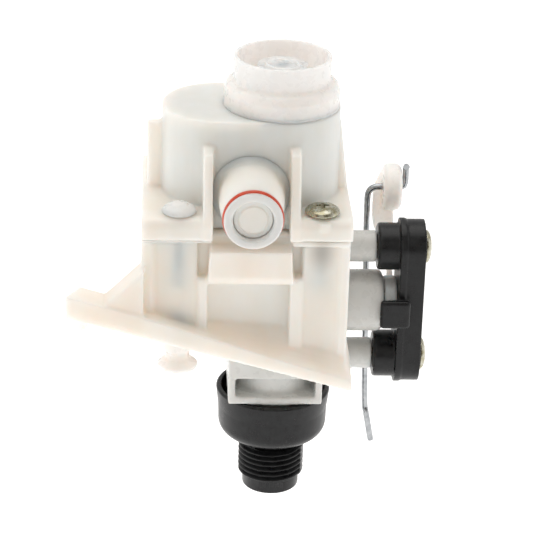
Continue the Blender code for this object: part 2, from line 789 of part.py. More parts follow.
def make_front_details(housing):
    """Pilasters, ribs, hood and screw columns that stand out from the front wall."""
    front, wall = PILASTER_FRONT / MM, BODY_FRONT / MM + 1
    top = BODY_TOP / MM
    for left, right, height in UPRIGHTS:
        low = flange_underside(left) + 2
        join(housing, box((left, front, low), (right, wall, height)))
    for left, right in SHELVES:
        join(housing, box((left, front - 1.2, SHELF_LOW / MM), (right, wall, top)))
    low, high = HOOD_BOTTOM / MM, SHELF_Z / MM
    hood = flat_shape(
        [(-22.1, low), (3.8, low), (2.5, high), (-20.5, high)],
        BODY_FRONT - HOOD_FRONT + 2 * MM,
        front_plane((BODY_FRONT + HOOD_FRONT) / 2 + 1 * MM),
    )
    join(housing, hood)
    gusset = flat_shape(
        [(-50.6, 76.8), (-41.0, 70), (-41.0, 85.4)], 2.4 * MM, front_plane(-26.2 * MM)
    )
    join(housing, gusset)
    for x in (FIXING_LEFT, FIXING_RIGHT):
        low = (flange_underside(x / MM) + 2) * MM
        join(housing, cylinder(FIXING_BOSS, (x, FIXING_FRONT, low), (x, FIXING_FRONT, BODY_TOP), COARSE))


def make_skirt():
    """Sloping foot between the front wall and the lip, deeper to the right."""
    right = BODY_RIGHT / MM + 0.2
    left = -9.5
    crest = 64.4
    shape = bmesh.new()
    for x, lip in ((left, 64.0), (right, 53.4)):
        foot = flange_underside(x) + 1
        for y, z in ((-19, crest), (BODY_FRONT / MM, crest), (FLANGE_FRONT / MM + 0.1, lip)):
            shape.verts.new(Vector((x, y, z)) * MM)
        shape.verts.new(Vector((x, -19, foot)) * MM)
        shape.verts.new(Vector((x, FLANGE_FRONT / MM + 0.1, foot)) * MM)
    bmesh.ops.convex_hull(shape, input=shape.verts)
    mesh = bpy.data.meshes.new("skirt")
    shape.to_mesh(mesh)
    shape.free()
    return add_object("skirt", mesh)


def make_lower_housing():
    left, right = BODY_LEFT / MM, BODY_RIGHT / MM
    depth = BODY_BACK - BODY_FRONT
    housing = flat_shape(
        [
            (left, flange_underside(left) + 1),
            (right, flange_underside(right) + 1),
            (right, BODY_TOP / MM),
            (left, BODY_TOP / MM),
        ],
        depth,
        front_plane(BODY_FRONT + depth / 2),
    )
    join(housing, make_flange())
    make_front_details(housing)
    join(housing, make_skirt())
    wall = WALL / MM
    inside = box(
        (left + wall, BODY_FRONT / MM + wall, BELOW),
        (right - wall, BODY_BACK / MM - wall, BODY_TOP / MM - wall),
    )
    tube_hole = cylinder(TUBE_RADIUS + GAP, (0, 0, SHELF_Z - WALL), (0, 0, BODY_TOP + 1 * MM))
    cut(housing, inside, tube_hole)
    near, far = BODY_RIGHT - 4 * WALL, BODY_RIGHT + WALL
    for radius, z in (
        (BARREL_RADIUS + GAP, STEM_Z),
        (POST_RADIUS + GAP, STEM_Z + POST_SPREAD),
        (POST_RADIUS + GAP, STEM_Z - POST_SPREAD),
    ):
        cut(housing, cylinder(radius, (near, 0, z), (far, 0, z), COARSE))
    post_z = (STEM_Z - POST_SPREAD) / MM
    half = (POST_RADIUS + GAP) / MM + 0.2
    cut(housing, box((right - wall - 1, -half, BELOW), (right + wall, half, post_z + 2)))
    for x in (FIXING_LEFT, FIXING_RIGHT):
        top = (x, FIXING_BACK, BODY_TOP - 1 * MM)
        join(housing, cylinder(COLUMN_RADIUS, (x, FIXING_BACK, COLUMN_LOW), top, COARSE))
        for y in (FIXING_FRONT, FIXING_BACK):
            top = (x, y, BODY_TOP + 1 * MM)
            cut(housing, cylinder(SCREW_HOLE, (x, y, FIXING_HOLE_LOW), top, COARSE))
    join(housing, make_nub())
    cut_stud_hole(housing)
    return publish(housing, "lower_housing", "cream")


def cut_stud_hole(housing):
    """Wide hole for the stud's collar through the flange, narrow above it for its shank."""
    under = flange_underside(FIXING_LEFT / MM) * MM
    collar = (STUD_COLLAR + STUD_PLAY, STUD_COLLAR_HIGH + STUD_PLAY)
    shank = (SCREW_HOLE + GAP, STUD_SHANK_HIGH + 3 * STUD_PLAY)
    for radius, reach in (collar, shank):
        low = (FIXING_LEFT, STUD_Y, under - 10 * MM)
        cut(housing, cylinder(radius, low, (FIXING_LEFT, STUD_Y, under + reach), COARSE))


def make_nub():
    """Locating nub under the rail's left end, square to the sloped underside."""
    slope = math.atan(FLANGE_SLOPE)
    down = Vector((-math.sin(slope), 0, -math.cos(slope)))
    root = Vector((NUB_X, NUB_Y, flange_underside(NUB_X / MM) * MM))
    return cylinder(2.1 * MM, root - down * 3 * MM, root + down * NUB_HEIGHT, COARSE, 1.0 * MM)


def make_mounting_stud():
    """Mushroom stud that snaps into the flange from below."""
    top = flange_underside(FIXING_LEFT / MM) * MM
    stud = turned(
        [
            (0, top + STUD_SHANK_HIGH),
            (SCREW_HOLE, top + STUD_SHANK_HIGH),
            (SCREW_HOLE, top + STUD_COLLAR_HIGH),
            (STUD_COLLAR, top + STUD_COLLAR_HIGH),
            (STUD_COLLAR, top - 4.9 * MM),
            (STUD_COLLAR - STUD_PLAY, top - 6.4 * MM),
            (STUD_HEAD, top - 9.2 * MM),
            (STUD_HEAD - 0.1 * MM, top - 10.2 * MM),
            (4.6 * MM, top - 10.9 * MM),
            (0, top - 11.0 * MM),
        ],
        (FIXING_LEFT, STUD_Y, 0),
        segments=24,
    )
    publish(stud, "mounting_stud", "cream")


# ---- upper housing ----------------------------------------------------------------


def make_ears():
    """Plate with the four fixing holes, notched in front of the chamber."""
    front, low, high = EAR_FRONT / MM, EAR_BOTTOM / MM, EAR_TOP / MM
    ears = box((BODY_LEFT / MM, front, low), (EAR_RIGHT / MM, EAR_BACK / MM, high), 1.0 * MM)
    notch = box((NOTCH_LEFT / MM, front - 2, low - 1), (NOTCH_RIGHT / MM, NOTCH_BACK / MM, high + 1))
    cut(ears, notch)
    for x in (FIXING_LEFT, FIXING_RIGHT):
        for y in (FIXING_FRONT, FIXING_BACK):
            start, end = (x, y, EAR_BOTTOM - 1 * MM), (x, y, EAR_TOP + 1 * MM)
            cut(ears, cylinder(SCREW_HOLE, start, end, COARSE))
    return ears


def make_upper_housing():
    radius = CHAMBER_RADIUS / MM
    left_x = CHAMBER_LEFT_X / MM
    height = CHAMBER_TOP - EAR_BOTTOM
    housing = flat_shape(
        stadium(left_x, 0, radius), height, plan_plane(EAR_BOTTOM + height / 2)
    )
    bevel = housing.modifiers.new("edge", "BEVEL")
    bevel.width = 1.4 * MM
    bevel.segments = 2
    bevel.limit_method = "ANGLE"
    bevel.angle_limit = math.radians(60)
    join(housing, make_ears())
    low = EAR_TOP / MM - 1
    left_web = [(-40.2, low), (-33, low), (-33, 126.2), (-40.2, 126.2)]
    right_web = [(14, low), (22.1, low), (18.4, 126.8), (14, 126.8)]
    for outline in (left_web, right_web):
        join(housing, flat_shape(outline, WEB_PLATE, front_plane(0)))
    fin = [(-14.8, low), (-24.6, low), (-21.6, 123.4), (-14.8, 125.6)]
    for x in FIN_PLACES:
        join(housing, flat_shape(fin, FIN_THICKNESS, side_plane(x * MM)))
    boss = turned(
        [
            (0, SPIGOT_BOSS_FRONT),
            (SPIGOT_BOSS_RADIUS - 1.2 * MM, SPIGOT_BOSS_FRONT),
            (SPIGOT_BOSS_RADIUS, SPIGOT_BOSS_FRONT - 1.2 * MM),
            (SPIGOT_BOSS_RADIUS, 16.5 * MM),
            (0, 16.5 * MM),
        ],
        (SPIGOT_X, 0, SPIGOT_Z),
        -Y_AXIS,
    )
    join(housing, boss)
    inner = radius - CHAMBER_WALL / MM
    inner_height = CHAMBER_TOP - CHAMBER_WALL - EAR_BOTTOM + 2 * MM
    inside = flat_shape(
        stadium(left_x, 0, inner), inner_height, plan_plane(EAR_BOTTOM - 2 * MM + inner_height / 2)
    )
    vent = cylinder(VENT_HOLE, (0, 0, CHAMBER_TOP - 5 * MM), (0, 0, CHAMBER_TOP + 1 * MM))
    outlet = cylinder(
        SPIGOT_SLEEVE + GAP, (SPIGOT_X, -12 * MM, SPIGOT_Z), (SPIGOT_X, -24 * MM, SPIGOT_Z)
    )
    cut(housing, inside, vent, outlet)
    return publish(housing, "upper_housing", "cream")


def make_housing_fasteners():
    places = {
        "housing_screw_front_right": (FIXING_RIGHT, FIXING_FRONT),
        "housing_screw_rear_right": (FIXING_RIGHT, FIXING_BACK),
        "housing_screw_rear_left": (FIXING_LEFT, FIXING_BACK),
    }
    for name, (x, y) in places.items():
        profile = screw_profile(*HOUSING_SCREW)
        publish(turned(profile, (x, y, EAR_TOP + GAP), Z_AXIS, COARSE), name, "zinc")
    rivet = turned(
        screw_profile(*HOUSING_RIVET),
        (FIXING_LEFT, FIXING_FRONT, EAR_TOP + GAP),
        Z_AXIS,
        COARSE,
    )
    publish(rivet, "housing_rivet_front_left", "cream")


# ---- vent cup and vacuum breaker --------------------------------------------------


def make_vent_cup():
    profile = [
        (14.65, 147.4), (14.5, 139.6), (15.8, 139.3), (17.0, 138.4), (17.5, 136.8), (17.5, 132.5),
        (10.7, 132.5), (10.7, 128.5), (9.0, 128.5), (9.0, 137.6), (6.0, 137.6),
        (6.0, VENT_FLOOR / MM), (13.3, VENT_FLOOR / MM), (13.55, 147.4),
    ]
    cup = turned([(radius * MM, height * MM) for radius, height in profile], segments=FINE)
    publish(cup, "vent_cup", "cream")
    publish(flat_ring(FLOAT_CAGE), "float_cage", "cool_white")


def make_float_guide():
    """Deflector disc on three legs, with the tube that guides the float's stem."""
    guide = turned(
        [
            (0, GUIDE_TOP),
            (GUIDE_DISC_RADIUS - 0.3 * MM, GUIDE_TOP),
            (GUIDE_DISC_RADIUS, GUIDE_TOP - 0.3 * MM),
            (GUIDE_DISC_RADIUS, GUIDE_TOP - 1.2 * MM),
            (2.8 * MM, GUIDE_TOP - 1.2 * MM),
            (2.8 * MM, 138.6 * MM),
            (0, 138.6 * MM),
        ]
    )
    for step in range(3):
        leg = box((2.0, -0.8, VENT_FLOOR / MM + 0.3), (7.3, 0.8, GUIDE_TOP / MM - 0.6))
        leg.matrix_basis = Matrix.Rotation(math.tau * step / 3 + math.pi / 6, 4, "Z")
        join(guide, leg)
    cut(guide, cylinder(GUIDE_BORE, (0, 0, 137 * MM), (0, 0, 147 * MM), COARSE))
    publish(guide, "float_guide", "cream")


def make_float():
    poppet = turned(
        [
            (0, 139.8 * MM),
            (FLOAT_STEM, 139.8 * MM),
            (FLOAT_STEM, 134.0 * MM),
            (4.4 * MM, 133.0 * MM),
            (4.4 * MM, 131.5 * MM),
            (FLOAT_RADIUS, 131.5 * MM),
            (FLOAT_RADIUS, 128.5 * MM),
            (0, 128.5 * MM),
        ],
        segments=24,
    )
    publish(poppet, "vacuum_float", "seat", FLOAT_PIVOT)
    publish(flat_ring(FLOAT_SEAL, segments=24), "float_seal", "rubber", FLOAT_PIVOT)


# ---- outlet -----------------------------------------------------------------------


def make_outlet():
    groove = OUTLET_RING_WIRE + GAP
    spigot = turned(
        [
            (SPIGOT_RADIUS - 0.6 * MM, SPIGOT_FACE),
            (SPIGOT_RADIUS, SPIGOT_FACE - 0.6 * MM),
            (SPIGOT_RADIUS, OUTLET_RING_PLACE + groove),
            (OUTLET_RING_RADIUS - groove, OUTLET_RING_PLACE + groove),
            (OUTLET_RING_RADIUS - groove, OUTLET_RING_PLACE - groove),
            (SPIGOT_BEHIND_RING, OUTLET_RING_PLACE - groove),
            (SPIGOT_ROOT, SPIGOT_BOSS_FRONT + GAP),
            (SPIGOT_SLEEVE, SPIGOT_BOSS_FRONT + GAP),
            (SPIGOT_SLEEVE, SPIGOT_INNER_END),
            (SPIGOT_BORE, SPIGOT_INNER_END),
            (SPIGOT_BORE, SPIGOT_FACE),
        ],
        (SPIGOT_X, 0, SPIGOT_Z),
        -Y_AXIS,
    )
    publish(spigot, "outlet_spigot", "cream")
    place = (SPIGOT_X, -OUTLET_RING_PLACE, SPIGOT_Z)
    publish(ring(OUTLET_RING_RADIUS, OUTLET_RING_WIRE, place, -Y_AXIS), "outlet_o_ring", "red_rubber")
    restrictor = flat_ring(FLOW_DISC, (SPIGOT_X, 0, SPIGOT_Z), -Y_AXIS, COARSE)
    publish(restrictor, "flow_disc", "seat")


clear_scene()
PARTS = make_collection("lever_water_valve")
TOOLS = make_collection("cutters")
ASSEMBLY = make_empty("assembly", -Vector((0, SEAT_Y, flange_underside(0) * MM)))
LEVER_PIVOT = make_empty("lever_pivot", (0, 0, STEM_Z), ASSEMBLY)
ROD_PIVOT_PLACE = Vector((0, EYE_Y, EYE_Z))
ROD_PIVOT = make_empty("rod_pivot", ROD_PIVOT_PLACE, ASSEMBLY)
FLOAT_PIVOT = make_empty("float_pivot", (0, 0, 128.5 * MM), ASSEMBLY)

make_inlet_fitting()
make_inlet_inner_parts()
make_valve_body()
make_ball_seats()
make_ball()
make_stem()
make_lever()
make_pull_rod()
make_yoke()
make_yoke_screws()
make_lower_housing()
make_mounting_stud()
make_upper_housing()
make_housing_fasteners()
make_vent_cup()
make_float_guide()
make_float()
make_outlet()
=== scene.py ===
"""Looks of a lever-operated water valve with a vacuum breaker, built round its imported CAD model.

Shapes are in millimetres in the design frame: the inlet axis at X = Y = 0, +Z up, and the
inlet's lower end at NIPPLE_END. Each object carries the shift from there to the CAD's frame.
"""
import math

import bmesh
import bpy
from mathutils import Matrix, Vector
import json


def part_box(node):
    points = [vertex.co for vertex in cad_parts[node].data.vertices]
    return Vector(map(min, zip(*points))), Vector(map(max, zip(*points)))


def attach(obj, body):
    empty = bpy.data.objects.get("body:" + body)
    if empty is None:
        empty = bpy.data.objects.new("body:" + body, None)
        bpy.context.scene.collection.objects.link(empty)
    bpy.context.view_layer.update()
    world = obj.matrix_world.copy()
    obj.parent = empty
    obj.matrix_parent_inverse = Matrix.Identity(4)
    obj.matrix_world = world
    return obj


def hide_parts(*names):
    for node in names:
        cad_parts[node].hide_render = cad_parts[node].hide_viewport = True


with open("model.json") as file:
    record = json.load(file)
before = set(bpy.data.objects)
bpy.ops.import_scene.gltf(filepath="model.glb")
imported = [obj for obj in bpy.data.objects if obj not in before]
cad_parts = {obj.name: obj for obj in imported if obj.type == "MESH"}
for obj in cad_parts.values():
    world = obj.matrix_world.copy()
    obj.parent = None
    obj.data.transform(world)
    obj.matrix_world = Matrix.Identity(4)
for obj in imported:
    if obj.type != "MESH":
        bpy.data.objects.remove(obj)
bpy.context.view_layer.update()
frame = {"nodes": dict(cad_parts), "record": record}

MM = 0.001
NIPPLE_END = 2.2

# camera, in the design frame
CAMERA_AIM = (-3.1, 0.0, 78.1)
CAMERA_AZIMUTH = -3.0
CAMERA_ELEVATION = 24.2
CAMERA_ROLL = 1.7
CAMERA_DISTANCE = 713.7
CAMERA_LENS = 155.35                # millimetres, on a 36 mm sensor

FLOOR_Z = -62.0                     # below the pull rod's reach

# sizes that several pieces share; the visible lower housing and ears end about 1 mm short of
# the CAD's on the right
STEM_Z = 67.0
POST_SPREAD = 18.4
SPIGOT_X, SPIGOT_Z = -9.3, 110.0
EYE_Y, EYE_Z = 24.0, 95.5
BODY_LEFT, BODY_RIGHT = -41.8, 20.6
BODY_FRONT, BODY_BACK, BODY_TOP = -21.0, 24.6, 97.9
HOOD_FRONT = -28.0
FLANGE_FRONT, FLANGE_LEFT, FLANGE_RIGHT = -30.0, -64.3, 22.4
RAIL_BACK = -19.8
FLANGE_LEFT_Z = 73.9
FLANGE_SLOPE = math.tan(math.radians(15.5))
EAR_BOTTOM, EAR_TOP = 98.2, 105.0
EAR_FRONT, EAR_BACK, EAR_RIGHT = -27.4, 27.4, 21.0
CHAMBER_LEFT_X, CHAMBER_RADIUS, CHAMBER_TOP = -18.0, 17.85, 132.2
FIXING_RIGHT, FIXING_LEFT = 12.0, -30.6
FIXING_FRONT, FIXING_BACK = -20.9, 20.7
NUB_X, NUB_Y = -58.7, -27.8
GAP = 0.3                           # between a part and what rests on it
POST_RADIUS = 4.92
SCREW_HOLE = 2.15                   # radius of the holes that take the housing screws
HOUSING_WALL = 2.4
CHAMBER_INSIDE = 33.8               # height of the space in the chamber

X_AXIS, Y_AXIS, Z_AXIS = Vector((1, 0, 0)), Vector((0, 1, 0)), Vector((0, 0, 1))


def find_shift():
    """From the design frame to the CAD's frame, in metres, read from the inlet fitting."""
    low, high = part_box("inlet_fitting")
    return Vector(((low.x + high.x) / 2, (low.y + high.y) / 2, low.z - NIPPLE_END * MM))


SHIFT = find_shift()


# ---- shapes -----------------------------------------------------------------------


def add_object(shape, name="shape"):
    """A bmesh in millimetres becomes an object in metres."""
    bmesh.ops.transform(shape, matrix=Matrix.Scale(MM, 4), verts=shape.verts)
    mesh = bpy.data.meshes.new(name)
    shape.to_mesh(mesh)
    shape.free()
    obj = bpy.data.objects.new(name, mesh)
    bpy.context.scene.collection.objects.link(obj)
    return obj


def turn_onto(axis):
    return Z_AXIS.rotation_difference(Vector(axis)).to_matrix().to_4x4()


def arc(centre, radius, start, end, steps=8):
    """Points on an arc, from one angle to another in degrees."""
    angles = [math.radians(start + (end - start) * i / steps) for i in range(steps + 1)]
    return [(centre[0] + radius * math.cos(a), centre[1] + radius * math.sin(a)) for a in angles]


def rounded(corners, steps=5):
    """A closed outline from corners (x, y) or (x, y, radius), each rounded by its radius."""
    outline = []
    for i, corner in enumerate(corners):
        here = Vector(corner[:2])
        if len(corner) < 3:
            outline.append(tuple(here))
            continue
        before = Vector(corners[i - 1][:2]) - here
        after = Vector(corners[(i + 1) % len(corners)][:2]) - here
        half = before.angle(after) / 2
        reach = min(corner[2] / math.tan(half), before.length / 2.1, after.length / 2.1)
        first = here + before.normalized() * reach
        last = here + after.normalized() * reach
        middle = (before.normalized() + after.normalized()).normalized()
        centre = here + middle * (reach / math.cos(half))
        start = math.atan2(first.y - centre.y, first.x - centre.x)
        end = math.atan2(last.y - centre.y, last.x - centre.x)
        turn = (end - start + math.pi) % math.tau - math.pi
        radius = (first - centre).length
        outline += arc(centre, radius, math.degrees(start), math.degrees(start + turn), steps)
    return outline


def stadium(near, far, radius, steps=24):
    """Outline of two half circles joined by straight sides, along the first coordinate."""
    return arc((near, 0), radius, 90, 270, steps) + arc((far, 0), radius, -90, 90, steps)


def block(low, high, edge=0.0):
    """A cuboid between two corners, with rounded edges."""
    low, high = Vector(low), Vector(high)
    shape = bmesh.new()
    bmesh.ops.create_cube(shape, size=1)
    size = Matrix.Diagonal((*(high - low), 1))
    bmesh.ops.transform(shape, matrix=Matrix.Translation((low + high) / 2) @ size, verts=shape.verts)
    if edge:
        bmesh.ops.bevel(
            shape, geom=shape.edges[:], offset=edge, segments=3, profile=0.5, affect="EDGES"
        )
    return add_object(shape)


def bar(radius, start, end, end_radius=None, segments=48):
    """A cylinder or cone between two points."""
    start, end = Vector(start), Vector(end)
    shape = bmesh.new()
    bmesh.ops.create_cone(
        shape,
        cap_ends=True,
        segments=segments,
        radius1=radius,
        radius2=radius if end_radius is None else end_radius,
        depth=(end - start).length,
    )
    matrix = Matrix.Translation((start + end) / 2) @ turn_onto(end - start)
    bmesh.ops.transform(shape, matrix=matrix, verts=shape.verts)
    return add_object(shape)


def turned(outline, place=(0, 0, 0), axis=Z_AXIS, segments=96):
    """A turned shape from a closed outline of (radius, height)."""
    shape = bmesh.new()
    points = [shape.verts.new((max(radius, 0), 0, height)) for radius, height in outline]
    for one, other in zip(points, points[1:] + points[:1]):
        if one.co.x > 0 or other.co.x > 0:
            shape.edges.new((one, other))
    bmesh.ops.spin(
        shape,
        geom=shape.verts[:] + shape.edges[:],
        axis=Z_AXIS,
        cent=(0, 0, 0),
        angle=math.tau,
        steps=segments,
        use_merge=True,
    )
    bmesh.ops.remove_doubles(shape, verts=shape.verts, dist=0.001)
    bmesh.ops.recalc_face_normals(shape, faces=shape.faces)
    matrix = Matrix.Translation(Vector(place)) @ turn_onto(axis)
    bmesh.ops.transform(shape, matrix=matrix, verts=shape.verts)
    return add_object(shape)


def prism(outline, depth, plane):
    """An outline with a thickness; plane takes its own plane to the design frame."""
    shape = bmesh.new()
    face = shape.faces.new([shape.verts.new((x, y, -depth / 2)) for x, y in outline])
    bmesh.ops.triangulate(shape, faces=[face])
    pushed = bmesh.ops.extrude_face_region(shape, geom=shape.faces[:])
    moved = [item for item in pushed["geom"] if isinstance(item, bmesh.types.BMVert)]
    bmesh.ops.translate(shape, vec=(0, 0, depth), verts=moved)
    bmesh.ops.recalc_face_normals(shape, faces=shape.faces)
    bmesh.ops.transform(shape, matrix=plane, verts=shape.verts)
    bmesh.ops.recalc_face_normals(shape, faces=shape.faces)
    return add_object(shape)


def front_plane(y):
    """Plane of an outline drawn in X and Z."""
    return Matrix.Translation((0, y, 0)) @ Matrix.Rotation(math.pi / 2, 4, "X")


def side_plane(x):
    """Plane of an outline drawn in Y and Z."""
    return Matrix.Translation((x, 0, 0)) @ Matrix(
        ((0, 0, 1, 0), (1, 0, 0, 0), (0, 1, 0, 0), (0, 0, 0, 1))
    )


def plan_plane(z):
    return Matrix.Translation((0, 0, z))


def loft(sections):
    """A closed skin over outlines with the same number of points."""
    shape = bmesh.new()
    rings = [[shape.verts.new(point) for point in section] for section in sections]
    for one, other in zip(rings, rings[1:]):
        for i in range(len(one)):
            j = (i + 1) % len(one)
            shape.faces.new((one[i], one[j], other[j], other[i]))
    shape.faces.new(rings[0][::-1])
    shape.faces.new(rings[-1])
    bmesh.ops.triangulate(shape, faces=shape.faces[:])
    bmesh.ops.recalc_face_normals(shape, faces=shape.faces)
    return add_object(shape)


def hull(points):
    """The convex skin over some points."""
    shape = bmesh.new()
    for point in points:
        shape.verts.new(point)
    bmesh.ops.convex_hull(shape, input=shape.verts)
    return add_object(shape)


def combine(obj, tool, operation):
    modifier = obj.modifiers.new(operation.lower(), "BOOLEAN")
    modifier.operation = operation
    modifier.object = tool
    modifier.solver = "MANIFOLD"
    tool.hide_render = True
    TOOLS.append(tool)
    return obj


def join(obj, *tools):
    for tool in tools:
        combine(obj, tool, "UNION")
    return obj


def cut(obj, *tools):
    for tool in tools:
        combine(obj, tool, "DIFFERENCE")
    return obj


def soften(obj, voxel, passes):
    """Fuse a built-up shape into one moulded skin with small fillets."""
    remesh = obj.modifiers.new("skin", "REMESH")
    remesh.mode = "VOXEL"
    remesh.voxel_size = voxel * MM
    relax = obj.modifiers.new("fillets", "SMOOTH")
    relax.factor = 0.5
    relax.iterations = passes
    return obj


def applied(obj):
    """The mesh of a shape with its modifiers applied; the shape and its tools are removed."""
    view = bpy.context.evaluated_depsgraph_get()
    mesh = bpy.data.meshes.new_from_object(obj.evaluated_get(view))
    for used in (obj, *TOOLS):
        bpy.data.objects.remove(used, do_unlink=True)
    TOOLS.clear()
    return mesh


def finish_piece(obj, name, material, body, slot, *nodes, sharp=None):
    """Apply a shape's modifiers and make it the visible piece for some CAD nodes."""
    mesh = applied(obj)
    mesh.materials.clear()
    mesh.materials.append(material)
    mesh.shade_smooth()
    if sharp:
        mesh.set_sharp_from_angle(angle=math.radians(sharp))
    piece = bpy.data.objects.new(name, mesh)
    piece.location = SHIFT
    bpy.context.scene.collection.objects.link(piece)
    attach(piece, body)
    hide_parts(*nodes)
    return piece


TOOLS = []


# ---- materials --------------------------------------------------------------------


class Surface:
    """A Principled material with a few helpers to add procedural detail."""

    def __init__(self, name, colour, roughness, metallic=0.0):
        self.material = bpy.data.materials.new(name)
        self.material.use_nodes = True
        self.nodes = self.material.node_tree.nodes
        self.links = self.material.node_tree.links
        self.shader = self.nodes["Principled BSDF"]
        self.set("Base Color", (*colour, 1))
        self.set("Roughness", roughness)
        self.set("Metallic", metallic)
        self.place = self.nodes.new("ShaderNodeTexCoord").outputs["Object"]
        self.height = None

    def set(self, socket, value):
        self.shader.inputs[socket].default_value = value

    def noise(self, size, detail=3.0, stretch=(1, 1, 1)):
        """A noise pattern whose features are about size millimetres across."""
        mapping = self.nodes.new("ShaderNodeMapping")
        mapping.inputs["Scale"].default_value = stretch
        self.links.new(self.place, mapping.inputs["Vector"])
        noise = self.nodes.new("ShaderNodeTexNoise")
        noise.inputs["Scale"].default_value = 1 / (size * MM)
        noise.inputs["Detail"].default_value = detail
        self.links.new(mapping.outputs["Vector"], noise.inputs["Vector"])
        return noise.outputs["Fac"]

    def ramp(self, value, low, high, low_at=0.35, high_at=0.65):
        """Map a pattern onto a range of values or colours."""
        mix = self.nodes.new("ShaderNodeMapRange")
        mix.inputs["From Min"].default_value = low_at
        mix.inputs["From Max"].default_value = high_at
        self.links.new(value, mix.inputs["Value"])
        if isinstance(low, tuple):
            blend = self.nodes.new("ShaderNodeMix")
            blend.data_type = "RGBA"
            blend.inputs["A"].default_value = (*low, 1)
            blend.inputs["B"].default_value = (*high, 1)
            self.links.new(mix.outputs["Result"], blend.inputs["Factor"])
            return blend.outputs["Result"]
        mix.inputs["To Min"].default_value = low
        mix.inputs["To Max"].default_value = high
        return mix.outputs["Result"]

    def drive(self, socket, value):
        self.links.new(value, self.shader.inputs[socket])

    def relief(self, value, depth, strength=1.0):
        """Add a pattern as relief of about depth millimetres."""
        bump = self.nodes.new("ShaderNodeBump")
        bump.inputs["Strength"].default_value = strength
        bump.inputs["Distance"].default_value = depth * MM
        self.links.new(value, bump.inputs["Height"])
        if self.height:
            self.links.new(self.height, bump.inputs["Normal"])
        self.height = bump.outputs["Normal"]
        self.links.new(self.height, self.shader.inputs["Normal"])


def translucent(name, light, dark, roughness, depth, weight=1.0):
    """Unpigmented moulded plastic: light passes through its walls and comes out warmer."""
    surface = Surface(name, light, roughness)
    flow = surface.noise(9, 2, (1, 1, 0.4))
    surface.drive("Base Color", surface.ramp(flow, dark, light))
    surface.drive("Roughness", surface.ramp(surface.noise(3), roughness - 0.05, roughness + 0.08))
    surface.set("Subsurface Weight", weight)
    surface.set("Subsurface Radius", (1.0, 0.82, 0.74))
    surface.set("Subsurface Scale", depth * MM)
    surface.set("IOR", 1.50)
    surface.relief(surface.noise(14, 1), 0.10, 0.5)
    surface.relief(surface.noise(0.5, 2), 0.02, 0.35)
    return surface.material


# painted shade: the housing's base colour is darkened round this place, in place of the screw's shadow seen
# through the wall
PAINTED_SHADE_PLACE = (12.0, 0.0, 94.0)       # centre of the painted shade where the screw's end shows through the right column
PAINTED_SHADE_REACH = 5.5
PAINTED_SHADE_STRETCH = 0.62


def natural_plastic(name="natural_plastic"):
    return translucent(name, (0.90, 0.858, 0.805), (0.872, 0.822, 0.755), 0.33, 6.0)


def housing_plastic_painted_shade():
    """The lower housing's plastic, with painted shade: its base colour is darkened round the right column,
    standing in for the screw behind it showing through.
    """
    material = natural_plastic("housing_plastic_painted_shade")
    nodes, links = material.node_tree.nodes, material.node_tree.links
    shader = nodes["Principled BSDF"]
    colour = shader.inputs["Base Color"].links[0].from_socket
    place = nodes.new("ShaderNodeMapping")
    place.inputs["Location"].default_value = (-PAINTED_SHADE_PLACE[0] * MM, 0, -PAINTED_SHADE_PLACE[2] * MM * PAINTED_SHADE_STRETCH)
    place.inputs["Scale"].default_value = (1, 0, PAINTED_SHADE_STRETCH)
    links.new(nodes.new("ShaderNodeTexCoord").outputs["Object"], place.inputs["Vector"])
    distance = nodes.new("ShaderNodeVectorMath")
    distance.operation = "LENGTH"
    links.new(place.outputs["Vector"], distance.inputs[0])
    fade = nodes.new("ShaderNodeMapRange")
    fade.interpolation_type = "SMOOTHSTEP"
    fade.inputs["From Max"].default_value = PAINTED_SHADE_REACH * MM
    fade.inputs["To Min"].default_value = 0.62
    links.new(distance.outputs["Value"], fade.inputs["Value"])
    # painted shade: the base colour is multiplied down to 0.62 near the screw's axis
    painted_shade = nodes.new("ShaderNodeMix")
    painted_shade.data_type = "RGBA"
    painted_shade.blend_type = "MULTIPLY"
    painted_shade.inputs["Factor"].default_value = 1.0
    links.new(colour, painted_shade.inputs["A"])
    links.new(fade.outputs["Result"], painted_shade.inputs["B"])
    links.new(painted_shade.outputs["Result"], shader.inputs["Base Color"])
    return material


def pale_plastic():
    """The vent cup, lever and small pieces: thinner, pinker and clearer."""
    return translucent("pale_plastic", (0.905, 0.875, 0.85), (0.88, 0.845, 0.815), 0.28, 6.0)


def white_plastic():
    return translucent("white_plastic", (0.68, 0.685, 0.67), (0.64, 0.645, 0.625), 0.28, 1.5, 0.6)


def black_plastic():
    """Glass-filled black nylon with a satin, slightly uneven skin."""
    surface = Surface("black_plastic", (0.008, 0.008, 0.009), 0.32)
    patch = surface.noise(2.5, 4)
    surface.drive("Base Color", surface.ramp(patch, (0.006, 0.006, 0.007), (0.013, 0.014, 0.015)))
    surface.drive("Roughness", surface.ramp(patch, 0.26, 0.38))
    surface.set("Specular IOR Level", 0.3)
    surface.relief(surface.noise(0.35, 3), 0.02, 0.4)
    surface.relief(surface.noise(6, 1), 0.08, 0.3)
    return surface.material


def rubber(name, light, dark, roughness):
    surface = Surface(name, light, roughness)
    patch = surface.noise(1.2, 4)
    surface.drive("Base Color", surface.ramp(patch, dark, light))
    surface.drive("Roughness", surface.ramp(patch, roughness - 0.06, roughness + 0.06))
    surface.relief(surface.noise(0.25, 2), 0.01, 0.4)
    return surface.material


def plated(name, light, dark, roughness, grain=(1, 1, 1)):
    """Plated steel: tint and roughness wander, with fine drawing or turning marks."""
    surface = Surface(name, light, roughness, 1.0)
    tint = surface.noise(1.6, 4)
    surface.drive("Base Color", surface.ramp(tint, dark, light))
    surface.drive("Roughness", surface.ramp(surface.noise(0.8, 3), roughness - 0.07, roughness + 0.10))
    surface.relief(surface.noise(0.3, 3, grain), 0.015, 0.4)
    return surface.material


